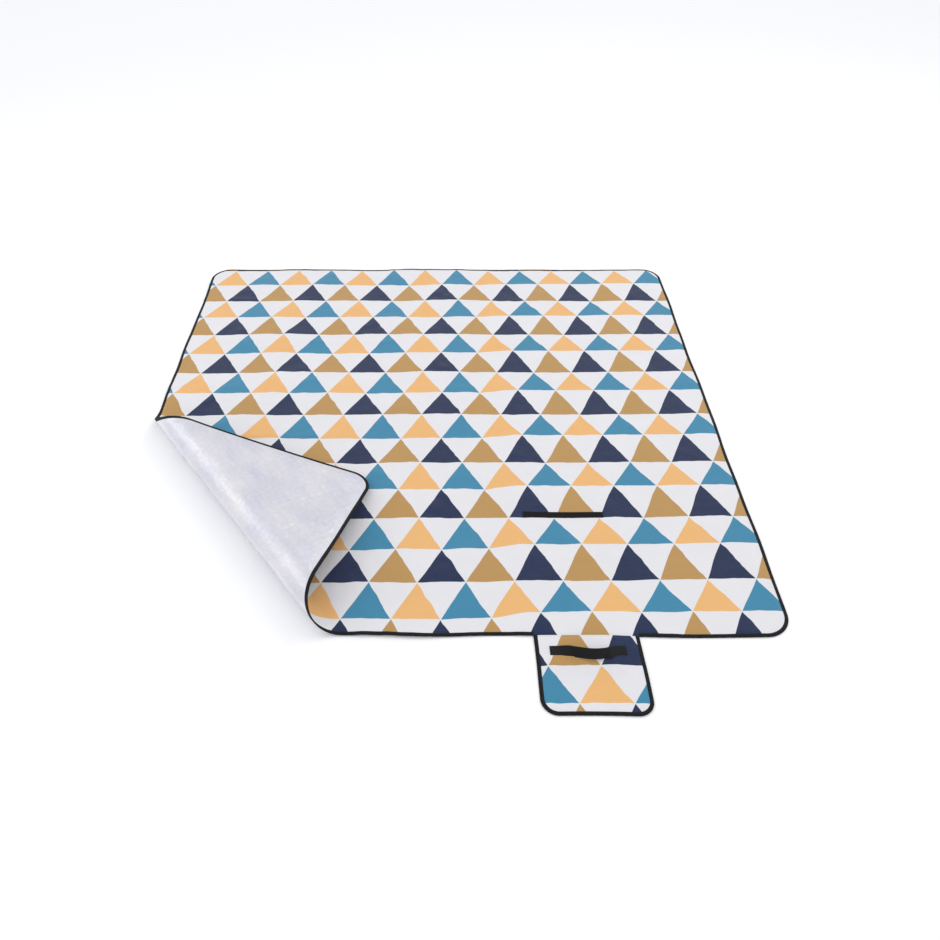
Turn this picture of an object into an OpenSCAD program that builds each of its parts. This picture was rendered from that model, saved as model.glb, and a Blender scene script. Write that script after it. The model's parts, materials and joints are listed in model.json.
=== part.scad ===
// Camp blanket: a quilted three-layer mat spread on the ground with one corner turned over,
// and a wrap-round flap that carries a webbing handle.
// Origin at the middle of the mat on the ground, +X to the right, +Y to the back, +Z up.

/* [Mat] */
// Width of the mat, left to right
mat_w = 2000; // [1700:10:2400]
// Depth of the mat, front to back
mat_d = 2000; // [1700:10:2400]
// Radius of the mat's corners
corner_r = 75; // [30:5:120]
// Width of one folding panel, so the right-hand creases lie at 0.5 and 1.5 of it
panel_w = 400; // [340:5:460]

/* [Layers] */
// Thickness of the printed fleece cover
cover_t = 1.6; // [1.2:0.1:2.4]
// Thickness of the soft wadding
wadding_t = 2.4; // [1.6:0.1:4]
// Thickness of the foil-faced backing
backing_t = 1; // [0.8:0.1:1.4]
// Share of its thickness that each layer keeps where the binding crushes it
crush = 0.5; // [0.4:0.05:0.6]

/* [Binding] */
// Width of the binding tape on each face
bind_w = 9; // [6:0.5:14]
// Thickness of the binding tape
bind_t = 0.6; // [0.4:0.1:0.8]
// Width of a sewing thread row
thread_w = 0.8; // [0.5:0.1:1.2]
// Height that a thread row stands above the tape
thread_h = 0.3; // [0.2:0.05:0.5]

/* [Turned corner] */
// Distance from the front left corner, up the left edge, to the start of the roll
roll_left = 1005; // [800:5:1150]
// Distance from the front left corner, along the front edge, to the start of the roll
roll_front = 755; // [650:5:850]
// Radius of the roll at the middle of the mat's thickness
roll_r = 60; // [35:1:75]
// Height at which the stiff turned tip stands over the mat
tip_gap = 25; // [0.4:0.2:40]

/* [Flap] */
// Width of the flap
flap_w = 292; // [220:2:340]
// Length of the flap from its seam to its free edge
flap_l = 245; // [180:1:280]
// Radius of the flap's free corners
flap_r = 46; // [20:1:60]
// Distance of the flap's middle to the right of the mat's middle
flap_x = 424; // [400:1:430]

/* [Touch fastener] */
// Length of the fastener strips
strip_l = 254; // [180:2:260]
// Width of the fastener strips
strip_w = 25; // [15:1:38]
// Thickness of each fastener strip
strip_t = 1.5; // [1:0.1:2]
// Distance from the mat's front edge to the middle of the loop strip
loop_y = 460; // [300:5:600]
// Distance of the loop strip's middle to the right of the mat's middle
loop_x = 405; // [390:1:420]
// Distance from the flap's free edge to the middle of the hook strip
hook_y = 40; // [30:1:80]

/* [Handle] */
// Width of the handle's webbing
web_w = 30; // [20:1:38]
// Thickness of the webbing
web_t = 1.8; // [1.2:0.1:2.5]
// Length of the free webbing between its two sewn tabs, measured straight
handle_span = 160; // [120:2:180]
// Length of each sewn tab
tab_l = 24; // [16:1:30]
// Height of the slack bow at its middle, measured square to the line of its ends
handle_bow = 36; // [30:1:45]
// Angle that the slack bow leans towards the flap's free edge
handle_lean = 50; // [30:1:55]
// Distance from the flap's seam to the middle of the webbing
handle_y = 52; // [45:1:80]

/* [Hidden] */

// Colours
print_c = "cornflowerblue";
wadding_c = "ivory";
foil_c = "lightsteelblue";
tape_c = "black";
thread_c = "dimgray";

// Heights of the layer faces in the open field, from the ground up
field_z = [0, backing_t, backing_t + wadding_t, backing_t + wadding_t + cover_t];
mat_t = field_z[3];
// Heights of the same faces in the band that the tape wraps. The crushed backing and cover
// stay thicker than their share by these slacks.
backing_slack = 0.1;
cover_slack = 0.4;
band_z = [bind_t, bind_t + backing_t * crush + backing_slack,
    bind_t + (backing_t + wadding_t) * crush + backing_slack,
    bind_t + mat_t * crush + backing_slack + cover_slack];
band_h = band_z[3] + bind_t;
BACKING = 0;
WADDING = 1;
COVER = 2;

// Gaps that keep the folding bodies apart
crease_gap = 0.6;
seam_gap = 0.6;
arc_fn = 48;
big = 3 * max(mat_w, mat_d);

crease_in = panel_w / 2;
crease_out = panel_w * 3 / 2;

// Line where the roll starts: roll_a on the left edge, roll_b on the front edge.
// along runs down that line, away points from it towards the turned corner.
roll_a = [-mat_w / 2, -mat_d / 2 + roll_left];
roll_b = [-mat_w / 2 + roll_front, -mat_d / 2];
roll_len = norm(roll_b - roll_a);
along = (roll_b - roll_a) / roll_len;
away = [along[1], -along[0]];

// The sheet turns through half a turn and then slopes down until its tip lies on the mat.
// slope() finds that slope by repeated substitution, because a steeper slope takes more of the sheet.
tip_reach = roll_left * roll_front / roll_len - corner_r * (-away[0] - away[1] - 1);
drop_t = mat_t + tip_gap;
function arc_len(r, a) = r * a * PI / 180;
function slope(a, left) = left == 0
    ? a
    : slope(asin((roll_r * (1 + cos(a)) - drop_t) / (tip_reach - arc_len(roll_r, 180 + a))), left - 1);
first_slope = 12;
slope_rounds = 24;
roll_slope = slope(first_slope, slope_rounds);
hinges = 4;
hinge_turn = (180 + roll_slope) / hinges;
hinge_arc = arc_len(roll_r, hinge_turn);
roll_end = hinges * hinge_arc;
roll_steps = 12;
hinge_gap = 0.8;
lap = 0.3;
roll_mid = mat_t / 2 + roll_r;

// Each hinge swaps an arc of the roll for the flat strip of the same length.
// hinge_at is its axis, out from and up from the start of that arc.
hinge_rise = roll_r * (1 - cos(hinge_turn));
hinge_run = roll_r * sin(hinge_turn) - hinge_arc;
hinge_half = 2 * tan(hinge_turn / 2);
hinge_at = [hinge_arc / 2, hinge_rise / 2 + hinge_run / hinge_half];

// Mat outlines
module rounded_plate(w, d, r) {
    square([w - 2 * r, d], center = true);
    square([w, d - 2 * r], center = true);
    for (x = [-1, 1], y = [-1, 1])
        translate([x * (w / 2 - r), y * (d / 2 - r)]) circle(r = r, $fn = arc_fn);
}

module mat_outline(inset) {
    rounded_plate(mat_w - 2 * inset, mat_d - 2 * inset, corner_r - inset);
}

// The stretch of the front edge where the flap is sewn on, which has no tape
module flap_slot(side = 0) {
    translate([flap_x - flap_w / 2 + side, -mat_d / 2 - bind_w])
        square([flap_w - 2 * side, 2 * bind_w]);
}

// Half plane on the mat's side of the roll line, or past it by the whole length of the roll
module mat_side() {
    polygon([roll_a - along * big, roll_b + along * big,
        roll_b + (along - away) * big, roll_a - (along + away) * big]);
}

module corner_side() {
    polygon([roll_a - along * big + away * roll_end, roll_b + along * big + away * roll_end,
        roll_b + (along + away) * big, roll_a + (away - along) * big]);
}

module columns(x0, x1) {
    translate([x0, -mat_d]) square([x1 - x0, 2 * mat_d]);
}

module region(name) {
    if (name == "mat") intersection() {
        mat_side();
        columns(-mat_w, crease_in - crease_gap / 2);
    }
    if (name == "corner") corner_side();
    if (name == "inner") columns(crease_in + crease_gap / 2, crease_out - crease_gap / 2);
    if (name == "outer") columns(crease_out + crease_gap / 2, mat_w);
}

module slab(z0, z1) {
    translate([0, 0, z0]) linear_extrude(height = z1 - z0) children();
}

// One layer of one panel: its full thickness in the field and crushed inside the tape
module layer(name, i) {
    slab(field_z[i], field_z[i + 1]) intersection() {
        union() {
            mat_outline(bind_w);
            intersection() {
                mat_outline(0);
                flap_slot();
            }
        }
        region(name);
    }
    slab(band_z[i], band_z[i + 1]) intersection() {
        difference() {
            mat_outline(bind_t);
            mat_outline(bind_w);
            flap_slot();
        }
        region(name);
    }
}

// The tape folded round the edge of one panel
module tape(name) {
    difference() {
        slab(0, band_h) intersection() {
            difference() {
                mat_outline(0);
                mat_outline(bind_w);
                flap_slot();
            }
            region(name);
        }
        slab(bind_t, band_z[3]) mat_outline(bind_t);
    }
}

module thread_row(name) {
    slab(band_h, band_h + thread_h) intersection() {
        difference() {
            mat_outline(bind_w - 3 * thread_w);
            mat_outline(bind_w - 2 * thread_w);
            flap_slot(-bind_w);
        }
        region(name);
    }
}

// A closed solid through rings of four points each, with its sides in triangles. Opposite sides
// are cut along the same way, so that twisted solids keep their thickness and fit side by side.
module loft4(rings) {
    last = len(rings) - 1;
    sides = [for (i = [0:last - 1], k = [0:3], half = [0, 1])
        let (a = 4 * i + k, b = a + 4, c = 4 * (i + 1) + (k + 1) % 4, d = c - 4, cut = k < 2)
        half == 0 ? [a, b, cut ? c : d] : [cut ? a : b, c, d]];
    ends = [[0, 1, 2], [0, 2, 3], [4 * last + 2, 4 * last + 1, 4 * last],
        [4 * last + 3, 4 * last + 2, 4 * last]];
    polyhedron(points = [for (ring = rings, p = ring) p], faces = concat(ends, sides), convexity = 4);
}

// The rolled sheet. s is the distance past the roll line and t the distance down it, both along
// the cloth, and z the height in the flat sheet. The sheet is flat up to base and curls up past it,
// or with way = -1 it curls up before base and is flat past it.
function roll_point(s, t, z, base, way) =
    let (d = way * (s - base),
        a = max(d, 0) / roll_r * 180 / PI,
        out = base + way * ((roll_mid - z) * sin(a) + min(d, 0)),
        p = roll_a + along * t + away * out)
    [p[0], p[1], roll_mid - (roll_mid - z) * cos(a)];

// Where the left or the front edge, moved in by inset, crosses the cloth at distance s
function left_t(s, inset) = (inset - away[0] * s) / along[0];
function front_t(s, inset) = (inset - roll_left - away[1] * s) / along[1];

// Corners of the section at s, from distance t[0] to t[1] down the roll and from height z0 to z1.
// The corner's share of the roll is drawn flat, with its lip curled up, and is turned later.
function ring(k, s, t, z0, z1) =
    let (base = k == hinges ? roll_end : 0, way = k == hinges ? -1 : 1)
    [for (c = [[t[0], z0], [t[1], z0], [t[1], z1], [t[0], z1]])
        roll_point(s, c[0], c[1], base, way)];

// Cloth distances between which body k of the roll lies: 0 is the mat and the last is the corner
function body_start(k) = k == 0 ? -lap : (k - 0.5) * hinge_arc + hinge_gap / 2;
function body_stop(k) = k == hinges ? roll_end + lap : (k + 0.5) * hinge_arc - hinge_gap / 2;
function stations(k) = [for (i = [0:roll_steps])
    body_start(k) + (body_stop(k) - body_start(k)) * i / roll_steps];

module roll_layer(k, i) {
    loft4([for (s = stations(k))
        ring(k, s, [left_t(s, bind_w), front_t(s, bind_w)], field_z[i], field_z[i + 1])]);
}

module roll_tape(k) {
    loft4([for (s = stations(k)) ring(k, s, [left_t(s, 0), left_t(s, bind_w)], 0, band_h)]);
    loft4([for (s = stations(k)) ring(k, s, [front_t(s, bind_w), front_t(s, 0)], 0, band_h)]);
}

// Turns what is drawn flat about one hinge of the roll, given its cloth distance
module about_hinge(k) {
    p = roll_a + away * ((k - 1) * hinge_arc + hinge_at[0]);
    at = [p[0], p[1], mat_t / 2 + hinge_at[1]];
    translate(at) rotate(a = -hinge_turn, v = [along[0], along[1], 0]) translate(-at) children();
}

module turned() {
    about_hinge(1) about_hinge(2) about_hinge(3) about_hinge(4) children();
}

// Flap outlines, drawn with the middle of the seam at the origin
module flap_outline(inset) {
    w = flap_w / 2 - inset;
    l = flap_l - inset;
    r = flap_r - inset;
    translate([-w, -l + r]) square([2 * w, l - r - seam_gap]);
    translate([-w + r, -l]) square([2 * (w - r), l - seam_gap]);
    for (x = [-1, 1]) translate([x * (w - r), -l + r]) circle(r = r, $fn = arc_fn);
}

module at_seam() {
    translate([flap_x, -mat_d / 2, 0]) children();
}

module hook_solid(grow = 0) {
    at_seam() translate([-strip_l / 2 - grow, -flap_l + hook_y - strip_w / 2 - grow, -grow])
        cube([strip_l + 2 * grow, strip_w + 2 * grow, strip_t + grow]);
}

module flap_layer(i) {
    at_seam() {
        slab(field_z[i], field_z[i + 1]) flap_outline(bind_w);
        slab(band_z[i], band_z[i + 1]) difference() {
            flap_outline(bind_t);
            flap_outline(bind_w);
        }
    }
}

// Webbing: a band that bows out and turns its width square to the bow
// over the share free_from of its length at each end. It runs from u = 0 to 1 between the tabs,
// and lies flat beyond them. The turn starts later than the rise, which keeps its edge off the flap.
free_from = 0.24;
rise_power = 1.4;
twist_power = 1.6;
end_steps = 8;
web_steps = 16;
function web_rise(u) = handle_bow * pow(sin(180 * min(max(u, 0), 1)), rise_power);
function web_twist(u) = handle_lean * pow(max(0, min(1, u / free_from, (1 - u) / free_from)), twist_power);
web_z = mat_t + web_t / 2;

function web_ring(u) =
    let (x = handle_span * (u - 0.5), b = web_rise(u), a = web_twist(u),
        c = [-b * sin(handle_lean), b * cos(handle_lean)],
        w = [cos(a), sin(a)] * web_w / 2,
        n = [-sin(a), cos(a)] * web_t / 2,
        p = [c - w - n, c + w - n, c + w + n, c - w + n])
    [for (q = p) [x, q[0], q[1]]];

module at_handle() {
    translate([flap_x, -mat_d / 2 - handle_y, web_z]) children();
}

module web(places) {
    at_handle() loft4([for (u = places) web_ring(u)]);
}

// Places along one end of the webbing, from its tab to where it swings free
tab_u = tab_l / handle_span;
end_places = concat([-tab_u], [for (i = [0:end_steps]) free_from * i / end_steps]);

// A sewn rectangle with a cross in it
module box_stitch(l, w) {
    difference() {
        square([l, w], center = true);
        square([l - 2 * thread_w, w - 2 * thread_w], center = true);
    }
    for (a = [-1, 1]) rotate(a * atan(w / l))
        square([norm([l, w]) - 2 * thread_w, thread_w], center = true);
}

// Mat
module mat_layer(i) {
    layer("mat", i);
    roll_layer(0, i);
}
module mat_cover() { color(print_c) mat_layer(COVER); }
module mat_wadding() { color(wadding_c) mat_layer(WADDING); }
module mat_backing() { color(foil_c) mat_layer(BACKING); }
module mat_binding() {
    color(tape_c) {
        tape("mat");
        roll_tape(0);
    }
}
module mat_stitching() { color(thread_c) thread_row("mat"); }

// Roll of the turned corner
module bend_cover(k) { color(print_c) roll_layer(k, COVER); }
module bend_wadding(k) { color(wadding_c) roll_layer(k, WADDING); }
module bend_backing(k) { color(foil_c) roll_layer(k, BACKING); }
module bend_binding(k) { color(tape_c) roll_tape(k); }

// Turned corner
module corner_layer(i) {
    turned() union() {
        layer("corner", i);
        roll_layer(hinges, i);
    }
}
module corner_cover() { color(print_c) corner_layer(COVER); }
module corner_wadding() { color(wadding_c) corner_layer(WADDING); }
module corner_backing() { color(foil_c) corner_layer(BACKING); }
module corner_binding() {
    color(tape_c) turned() union() {
        tape("corner");
        roll_tape(hinges);
    }
}
module corner_stitching() { color(thread_c) turned() thread_row("corner"); }

// Inner right-hand panel
module inner_cover() { color(print_c) layer("inner", COVER); }
module inner_wadding() { color(wadding_c) layer("inner", WADDING); }
module inner_backing() { color(foil_c) layer("inner", BACKING); }
module inner_binding() { color(tape_c) tape("inner"); }
module inner_stitching() { color(thread_c) thread_row("inner"); }
module loop_strip() {
    color(tape_c) translate([loop_x - strip_l / 2, -mat_d / 2 + loop_y - strip_w / 2, mat_t])
        cube([strip_l, strip_w, strip_t]);
}

// Outer right-hand panel
module outer_cover() { color(print_c) layer("outer", COVER); }
module outer_wadding() { color(wadding_c) layer("outer", WADDING); }
module outer_backing() { color(foil_c) layer("outer", BACKING); }
module outer_binding() { color(tape_c) tape("outer"); }
module outer_stitching() { color(thread_c) thread_row("outer"); }

// Flap
module flap_cover() { color(print_c) flap_layer(COVER); }
module flap_wadding() {
    color(wadding_c) difference() {
        flap_layer(WADDING);
        hook_solid();
    }
}
module flap_backing() {
    color(foil_c) difference() {
        flap_layer(BACKING);
        hook_solid();
    }
}
module flap_binding() {
    color(tape_c) at_seam() difference() {
        slab(0, band_h) difference() {
            flap_outline(0);
            flap_outline(bind_w);
        }
        slab(bind_t, band_z[3]) flap_outline(bind_t);
    }
}
module flap_stitching() {
    color(thread_c) at_seam() {
        slab(band_h, band_h + thread_h) difference() {
            flap_outline(bind_w - 3 * thread_w);
            flap_outline(bind_w - 2 * thread_w);
        }
        translate([0, -seam_gap - 3 * thread_w, mat_t + thread_h / 2])
            cube([flap_w - 2 * bind_w, thread_w, thread_h], center = true);
    }
}
module hook_strip() { color(tape_c) hook_solid(); }

// Handle
module handle_end_left() { color(tape_c) web(end_places); }
module handle_end_right() {
    color(tape_c) web([for (i = [len(end_places) - 1:-1:0]) 1 - end_places[i]]);
}
module tab_stitching() {
    color(thread_c) at_handle() for (side = [-1, 1])
        translate([side * (handle_span + tab_l) / 2, 0, web_t / 2])
            linear_extrude(height = thread_h) box_stitch(tab_l - 6 * thread_w, web_w - 6 * thread_w);
}
module handle_web() {
    start = free_from + hinge_gap / handle_span;
    color(tape_c) web([for (i = [0:web_steps]) start + (1 - 2 * start) * i / web_steps]);
}

mat_cover();
mat_wadding();
mat_backing();
mat_binding();
mat_stitching();
bend_cover(1);  // bend_1_cover
bend_wadding(1);  // bend_1_wadding
bend_backing(1);  // bend_1_backing
bend_binding(1);  // bend_1_binding
bend_cover(2);  // bend_2_cover
bend_wadding(2);  // bend_2_wadding
bend_backing(2);  // bend_2_backing
bend_binding(2);  // bend_2_binding
bend_cover(3);  // bend_3_cover
bend_wadding(3);  // bend_3_wadding
bend_backing(3);  // bend_3_backing
bend_binding(3);  // bend_3_binding
corner_cover();
corner_wadding();
corner_backing();
corner_binding();
corner_stitching();
inner_cover();
inner_wadding();
inner_backing();
inner_binding();
inner_stitching();
loop_strip();
outer_cover();
outer_wadding();
outer_backing();
outer_binding();
outer_stitching();
flap_cover();
flap_wadding();
flap_backing();
flap_binding();
flap_stitching();
hook_strip();
handle_end_left();
handle_end_right();
tab_stitching();
handle_web();
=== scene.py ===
import json
import logging
import math
from dataclasses import dataclass, field
from enum import Enum
from functools import cached_property
from typing import Callable

import bpy
import numpy as np
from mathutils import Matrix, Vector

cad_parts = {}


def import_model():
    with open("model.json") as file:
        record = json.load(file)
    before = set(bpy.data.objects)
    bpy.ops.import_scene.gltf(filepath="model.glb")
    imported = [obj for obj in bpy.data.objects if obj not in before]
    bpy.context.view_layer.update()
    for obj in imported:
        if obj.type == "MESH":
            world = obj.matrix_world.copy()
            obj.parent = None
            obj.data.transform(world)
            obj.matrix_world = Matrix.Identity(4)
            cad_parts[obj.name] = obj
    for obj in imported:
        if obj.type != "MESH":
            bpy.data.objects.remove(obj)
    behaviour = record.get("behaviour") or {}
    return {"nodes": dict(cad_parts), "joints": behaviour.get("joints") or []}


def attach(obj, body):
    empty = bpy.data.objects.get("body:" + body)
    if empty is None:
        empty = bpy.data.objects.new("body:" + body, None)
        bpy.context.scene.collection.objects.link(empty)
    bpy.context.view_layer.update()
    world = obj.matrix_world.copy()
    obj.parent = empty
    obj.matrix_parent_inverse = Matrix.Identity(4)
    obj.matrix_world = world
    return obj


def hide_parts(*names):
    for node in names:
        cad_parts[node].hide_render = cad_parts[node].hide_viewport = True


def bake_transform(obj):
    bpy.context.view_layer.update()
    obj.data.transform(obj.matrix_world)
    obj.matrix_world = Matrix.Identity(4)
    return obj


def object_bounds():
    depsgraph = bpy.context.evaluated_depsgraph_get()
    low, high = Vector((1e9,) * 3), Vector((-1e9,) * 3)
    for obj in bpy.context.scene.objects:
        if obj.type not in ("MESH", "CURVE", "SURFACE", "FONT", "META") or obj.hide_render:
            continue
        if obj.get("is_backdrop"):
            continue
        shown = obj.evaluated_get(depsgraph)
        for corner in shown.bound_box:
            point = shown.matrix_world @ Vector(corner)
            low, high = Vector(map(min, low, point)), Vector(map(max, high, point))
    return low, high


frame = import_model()

"""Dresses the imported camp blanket: printed fleece, wadding, foil backing, edge tape, thread,
touch fastener and the webbing handle. Lengths are in metres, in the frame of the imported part."""

Array = np.ndarray
LOG = logging.getLogger("camp_blanket")
MM = 0.001


class Layer(Enum):
    """The three layers that are sewn together, and the part of a node's name that stands for each."""

    COVER = "cover"
    WADDING = "wadding"
    BACKING = "backing"


class Region(Enum):
    """A stretch of the blanket that one visible piece covers, with the bodies it follows."""

    MAT = ("mat", "mat", "panel_inner")
    INNER = ("inner", "panel_inner", "panel_outer")
    OUTER = ("outer", "panel_outer", "")
    ROLL_1 = ("bend_1", "mat", "bend_1")
    ROLL_2 = ("bend_2", "bend_1", "bend_2")
    ROLL_3 = ("bend_3", "bend_2", "bend_3")
    ROLL_4 = ("bend_4", "bend_3", "corner")
    CORNER = ("corner", "corner", "")

    def __init__(self, prefix: str, body: str, bends_to: str) -> None:
        """Names the CAD nodes' prefix, the body at the start and the body that the piece bends to."""
        self.prefix = prefix
        self.body = body
        self.bends_to = bends_to


ROLLS = (Region.ROLL_1, Region.ROLL_2, Region.ROLL_3, Region.ROLL_4)


def smooth(value: Array) -> Array:
    """Eases a value from 0 to 1 with level ends: 3v^2 - 2v^3, held at 0 and 1 outside."""
    v = np.clip(value, 0.0, 1.0)
    return v * v * (3.0 - 2.0 * v)


def spaced(start: float, stop: float, step: float) -> Array:
    """Evenly spaced values from start to stop, about step apart."""
    return np.linspace(start, stop, max(2, int(round(abs(stop - start) / step)) + 1))


def lines_with(start: float, stop: float, step: float, fine: dict[float, float], near: float) -> Array:
    """Grid lines that close up near chosen places.

    Args:
        start: first line.
        stop: last line.
        step: spacing away from the chosen places.
        fine: place to half-width of the stretch round it that is finely spaced.
        near: spacing in those stretches.

    Returns:
        The sorted positions of the lines.
    """
    coarse = spaced(start, stop, step)
    parts = []
    for place, half in fine.items():
        coarse = coarse[np.abs(coarse - place) > half]
        parts.append(spaced(max(start, place - half), min(stop, place + half), near))
    return np.unique(np.concatenate([coarse, [start, stop], *parts]).round(6))


@dataclass(frozen=True)
class Outline:
    """A plate with round corners, whose edge the tape follows."""

    half_w: float = 1.0
    half_d: float = 1.0
    radius: float = 0.075

    def inside(self, x: Array, y: Array) -> Array:
        """Distance in to the edge, from the rounded box: r - |max(q, 0)| - min(max(q), 0)."""
        qx = np.abs(x) - (self.half_w - self.radius)
        qy = np.abs(y) - (self.half_d - self.radius)
        outer = np.hypot(np.maximum(qx, 0.0), np.maximum(qy, 0.0))
        return self.radius - outer - np.minimum(np.maximum(qx, qy), 0.0)

    def half_width_at(self, y: Array, inset: float) -> Array:
        """Half the plate's width at each y, inset from the edge: the round corner's chord."""
        r = self.radius - inset
        q = np.clip((np.abs(y) - (self.half_d - self.radius)) / r, 0.0, 1.0)
        return self.half_w - self.radius + r * np.sqrt(1.0 - q * q)


@dataclass(frozen=True)
class Roll:
    """The turned corner: the sheet curls up past a straight line and slopes down to its tip.

    The mid-surface is a curve in the plane square to the line. Its angle grows evenly with the
    distance s past the line, s / radius, up to half a turn plus steep, and then eases back:
    half a turn + settle + (steep - settle) * exp(-l / ease), l being the distance past the curl.
    """

    left: float = 1.005
    front: float = 0.755
    radius: float = 0.060
    thickness: float = 0.005
    steep: float = math.radians(17.5)
    ease: float = 0.20
    settle: float = math.radians(10.7)
    outline: Outline = Outline()

    @cached_property
    def start(self) -> Array:
        """Where the line meets the left edge."""
        return np.array([-self.outline.half_w, -self.outline.half_d + self.left])

    @cached_property
    def along(self) -> Array:
        """Unit vector down the line, from the left edge to the front edge."""
        run = np.array([self.front, -self.left])
        return run / np.hypot(*run)

    @cached_property
    def away(self) -> Array:
        """Unit vector from the line towards the turned corner."""
        return np.array([self.along[1], -self.along[0]])

    @cached_property
    def arcs(self) -> Array:
        """Distances past the line at which the four hinged strips begin and end."""
        low = math.radians(frame["joints"][0]["range_deg"][0])
        return np.arange(len(ROLLS) + 1) * self.radius * -low

    @cached_property
    def curve(self) -> tuple[Array, Array, Array, Array]:
        """Distance, position out and up, and angle along the mid-surface, summed in half millimetres."""
        s = np.arange(0.0, 0.75, 0.5 * MM)
        curl = self.radius * (math.pi + self.steep)
        eased = (self.steep - self.settle) * np.exp(-(s - curl) / self.ease)
        angle = np.where(s < curl, s / self.radius, math.pi + self.settle + eased)
        middle = 0.5 * (angle[1:] + angle[:-1])
        out = np.concatenate([[0.0], np.cumsum(np.cos(middle) * np.diff(s))])
        up = np.concatenate([[0.0], np.cumsum(np.sin(middle) * np.diff(s))])
        return s, out, up, angle

    def past(self, x: Array, y: Array) -> Array:
        """Distance of a point of the flat cloth past the line, towards the corner."""
        return (x - self.start[0]) * self.away[0] + (y - self.start[1]) * self.away[1]

    def x_on_line(self, y: Array, s: float = 0.0) -> Array:
        """The x at which the line, moved by s towards the corner, crosses each y."""
        return self.start[0] + (s - (y - self.start[1]) * self.away[1]) / self.away[0]

    def ends(self, s: Array, inset: float) -> tuple[Array, Array]:
        """Distances down the line at which the cloth at s meets the left and the front edge."""
        left = (inset - self.away[0] * s) / self.along[0]
        front = (inset - self.left - self.away[1] * s) / self.along[1]
        return left, front

    def cloth(self, s: Array, t: Array) -> tuple[Array, Array]:
        """Flat cloth x and y of the point s past the line and t down it."""
        return (self.start[0] + self.along[0] * t + self.away[0] * s,
                self.start[1] + self.along[1] * t + self.away[1] * s)

    def place(self, x: Array, y: Array, height: Array) -> Array:
        """Puts points of the flat blanket where the roll takes them.

        A point keeps its distance down the line. Past the line it follows the curve, offset
        from it by its height less half the thickness, along the curve's normal.

        Args:
            x: flat cloth x.
            y: flat cloth y.
            height: height above the underside of the flat blanket.

        Returns:
            Points, with the three coordinates last.
        """
        s = self.past(x, y)
        table_s, table_out, table_up, table_angle = self.curve
        turned = np.maximum(s, 0.0)
        angle = np.interp(turned, table_s, table_angle)
        offset = height - self.thickness / 2.0
        out = np.interp(turned, table_s, table_out) - offset * np.sin(angle)
        up = np.interp(turned, table_s, table_up) + offset * np.cos(angle) + self.thickness / 2.0
        shift = np.where(s > 0.0, out - s, 0.0)
        return np.stack([x + self.away[0] * shift, y + self.away[1] * shift,
                         np.where(s > 0.0, up, height)], axis=-1)


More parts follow.
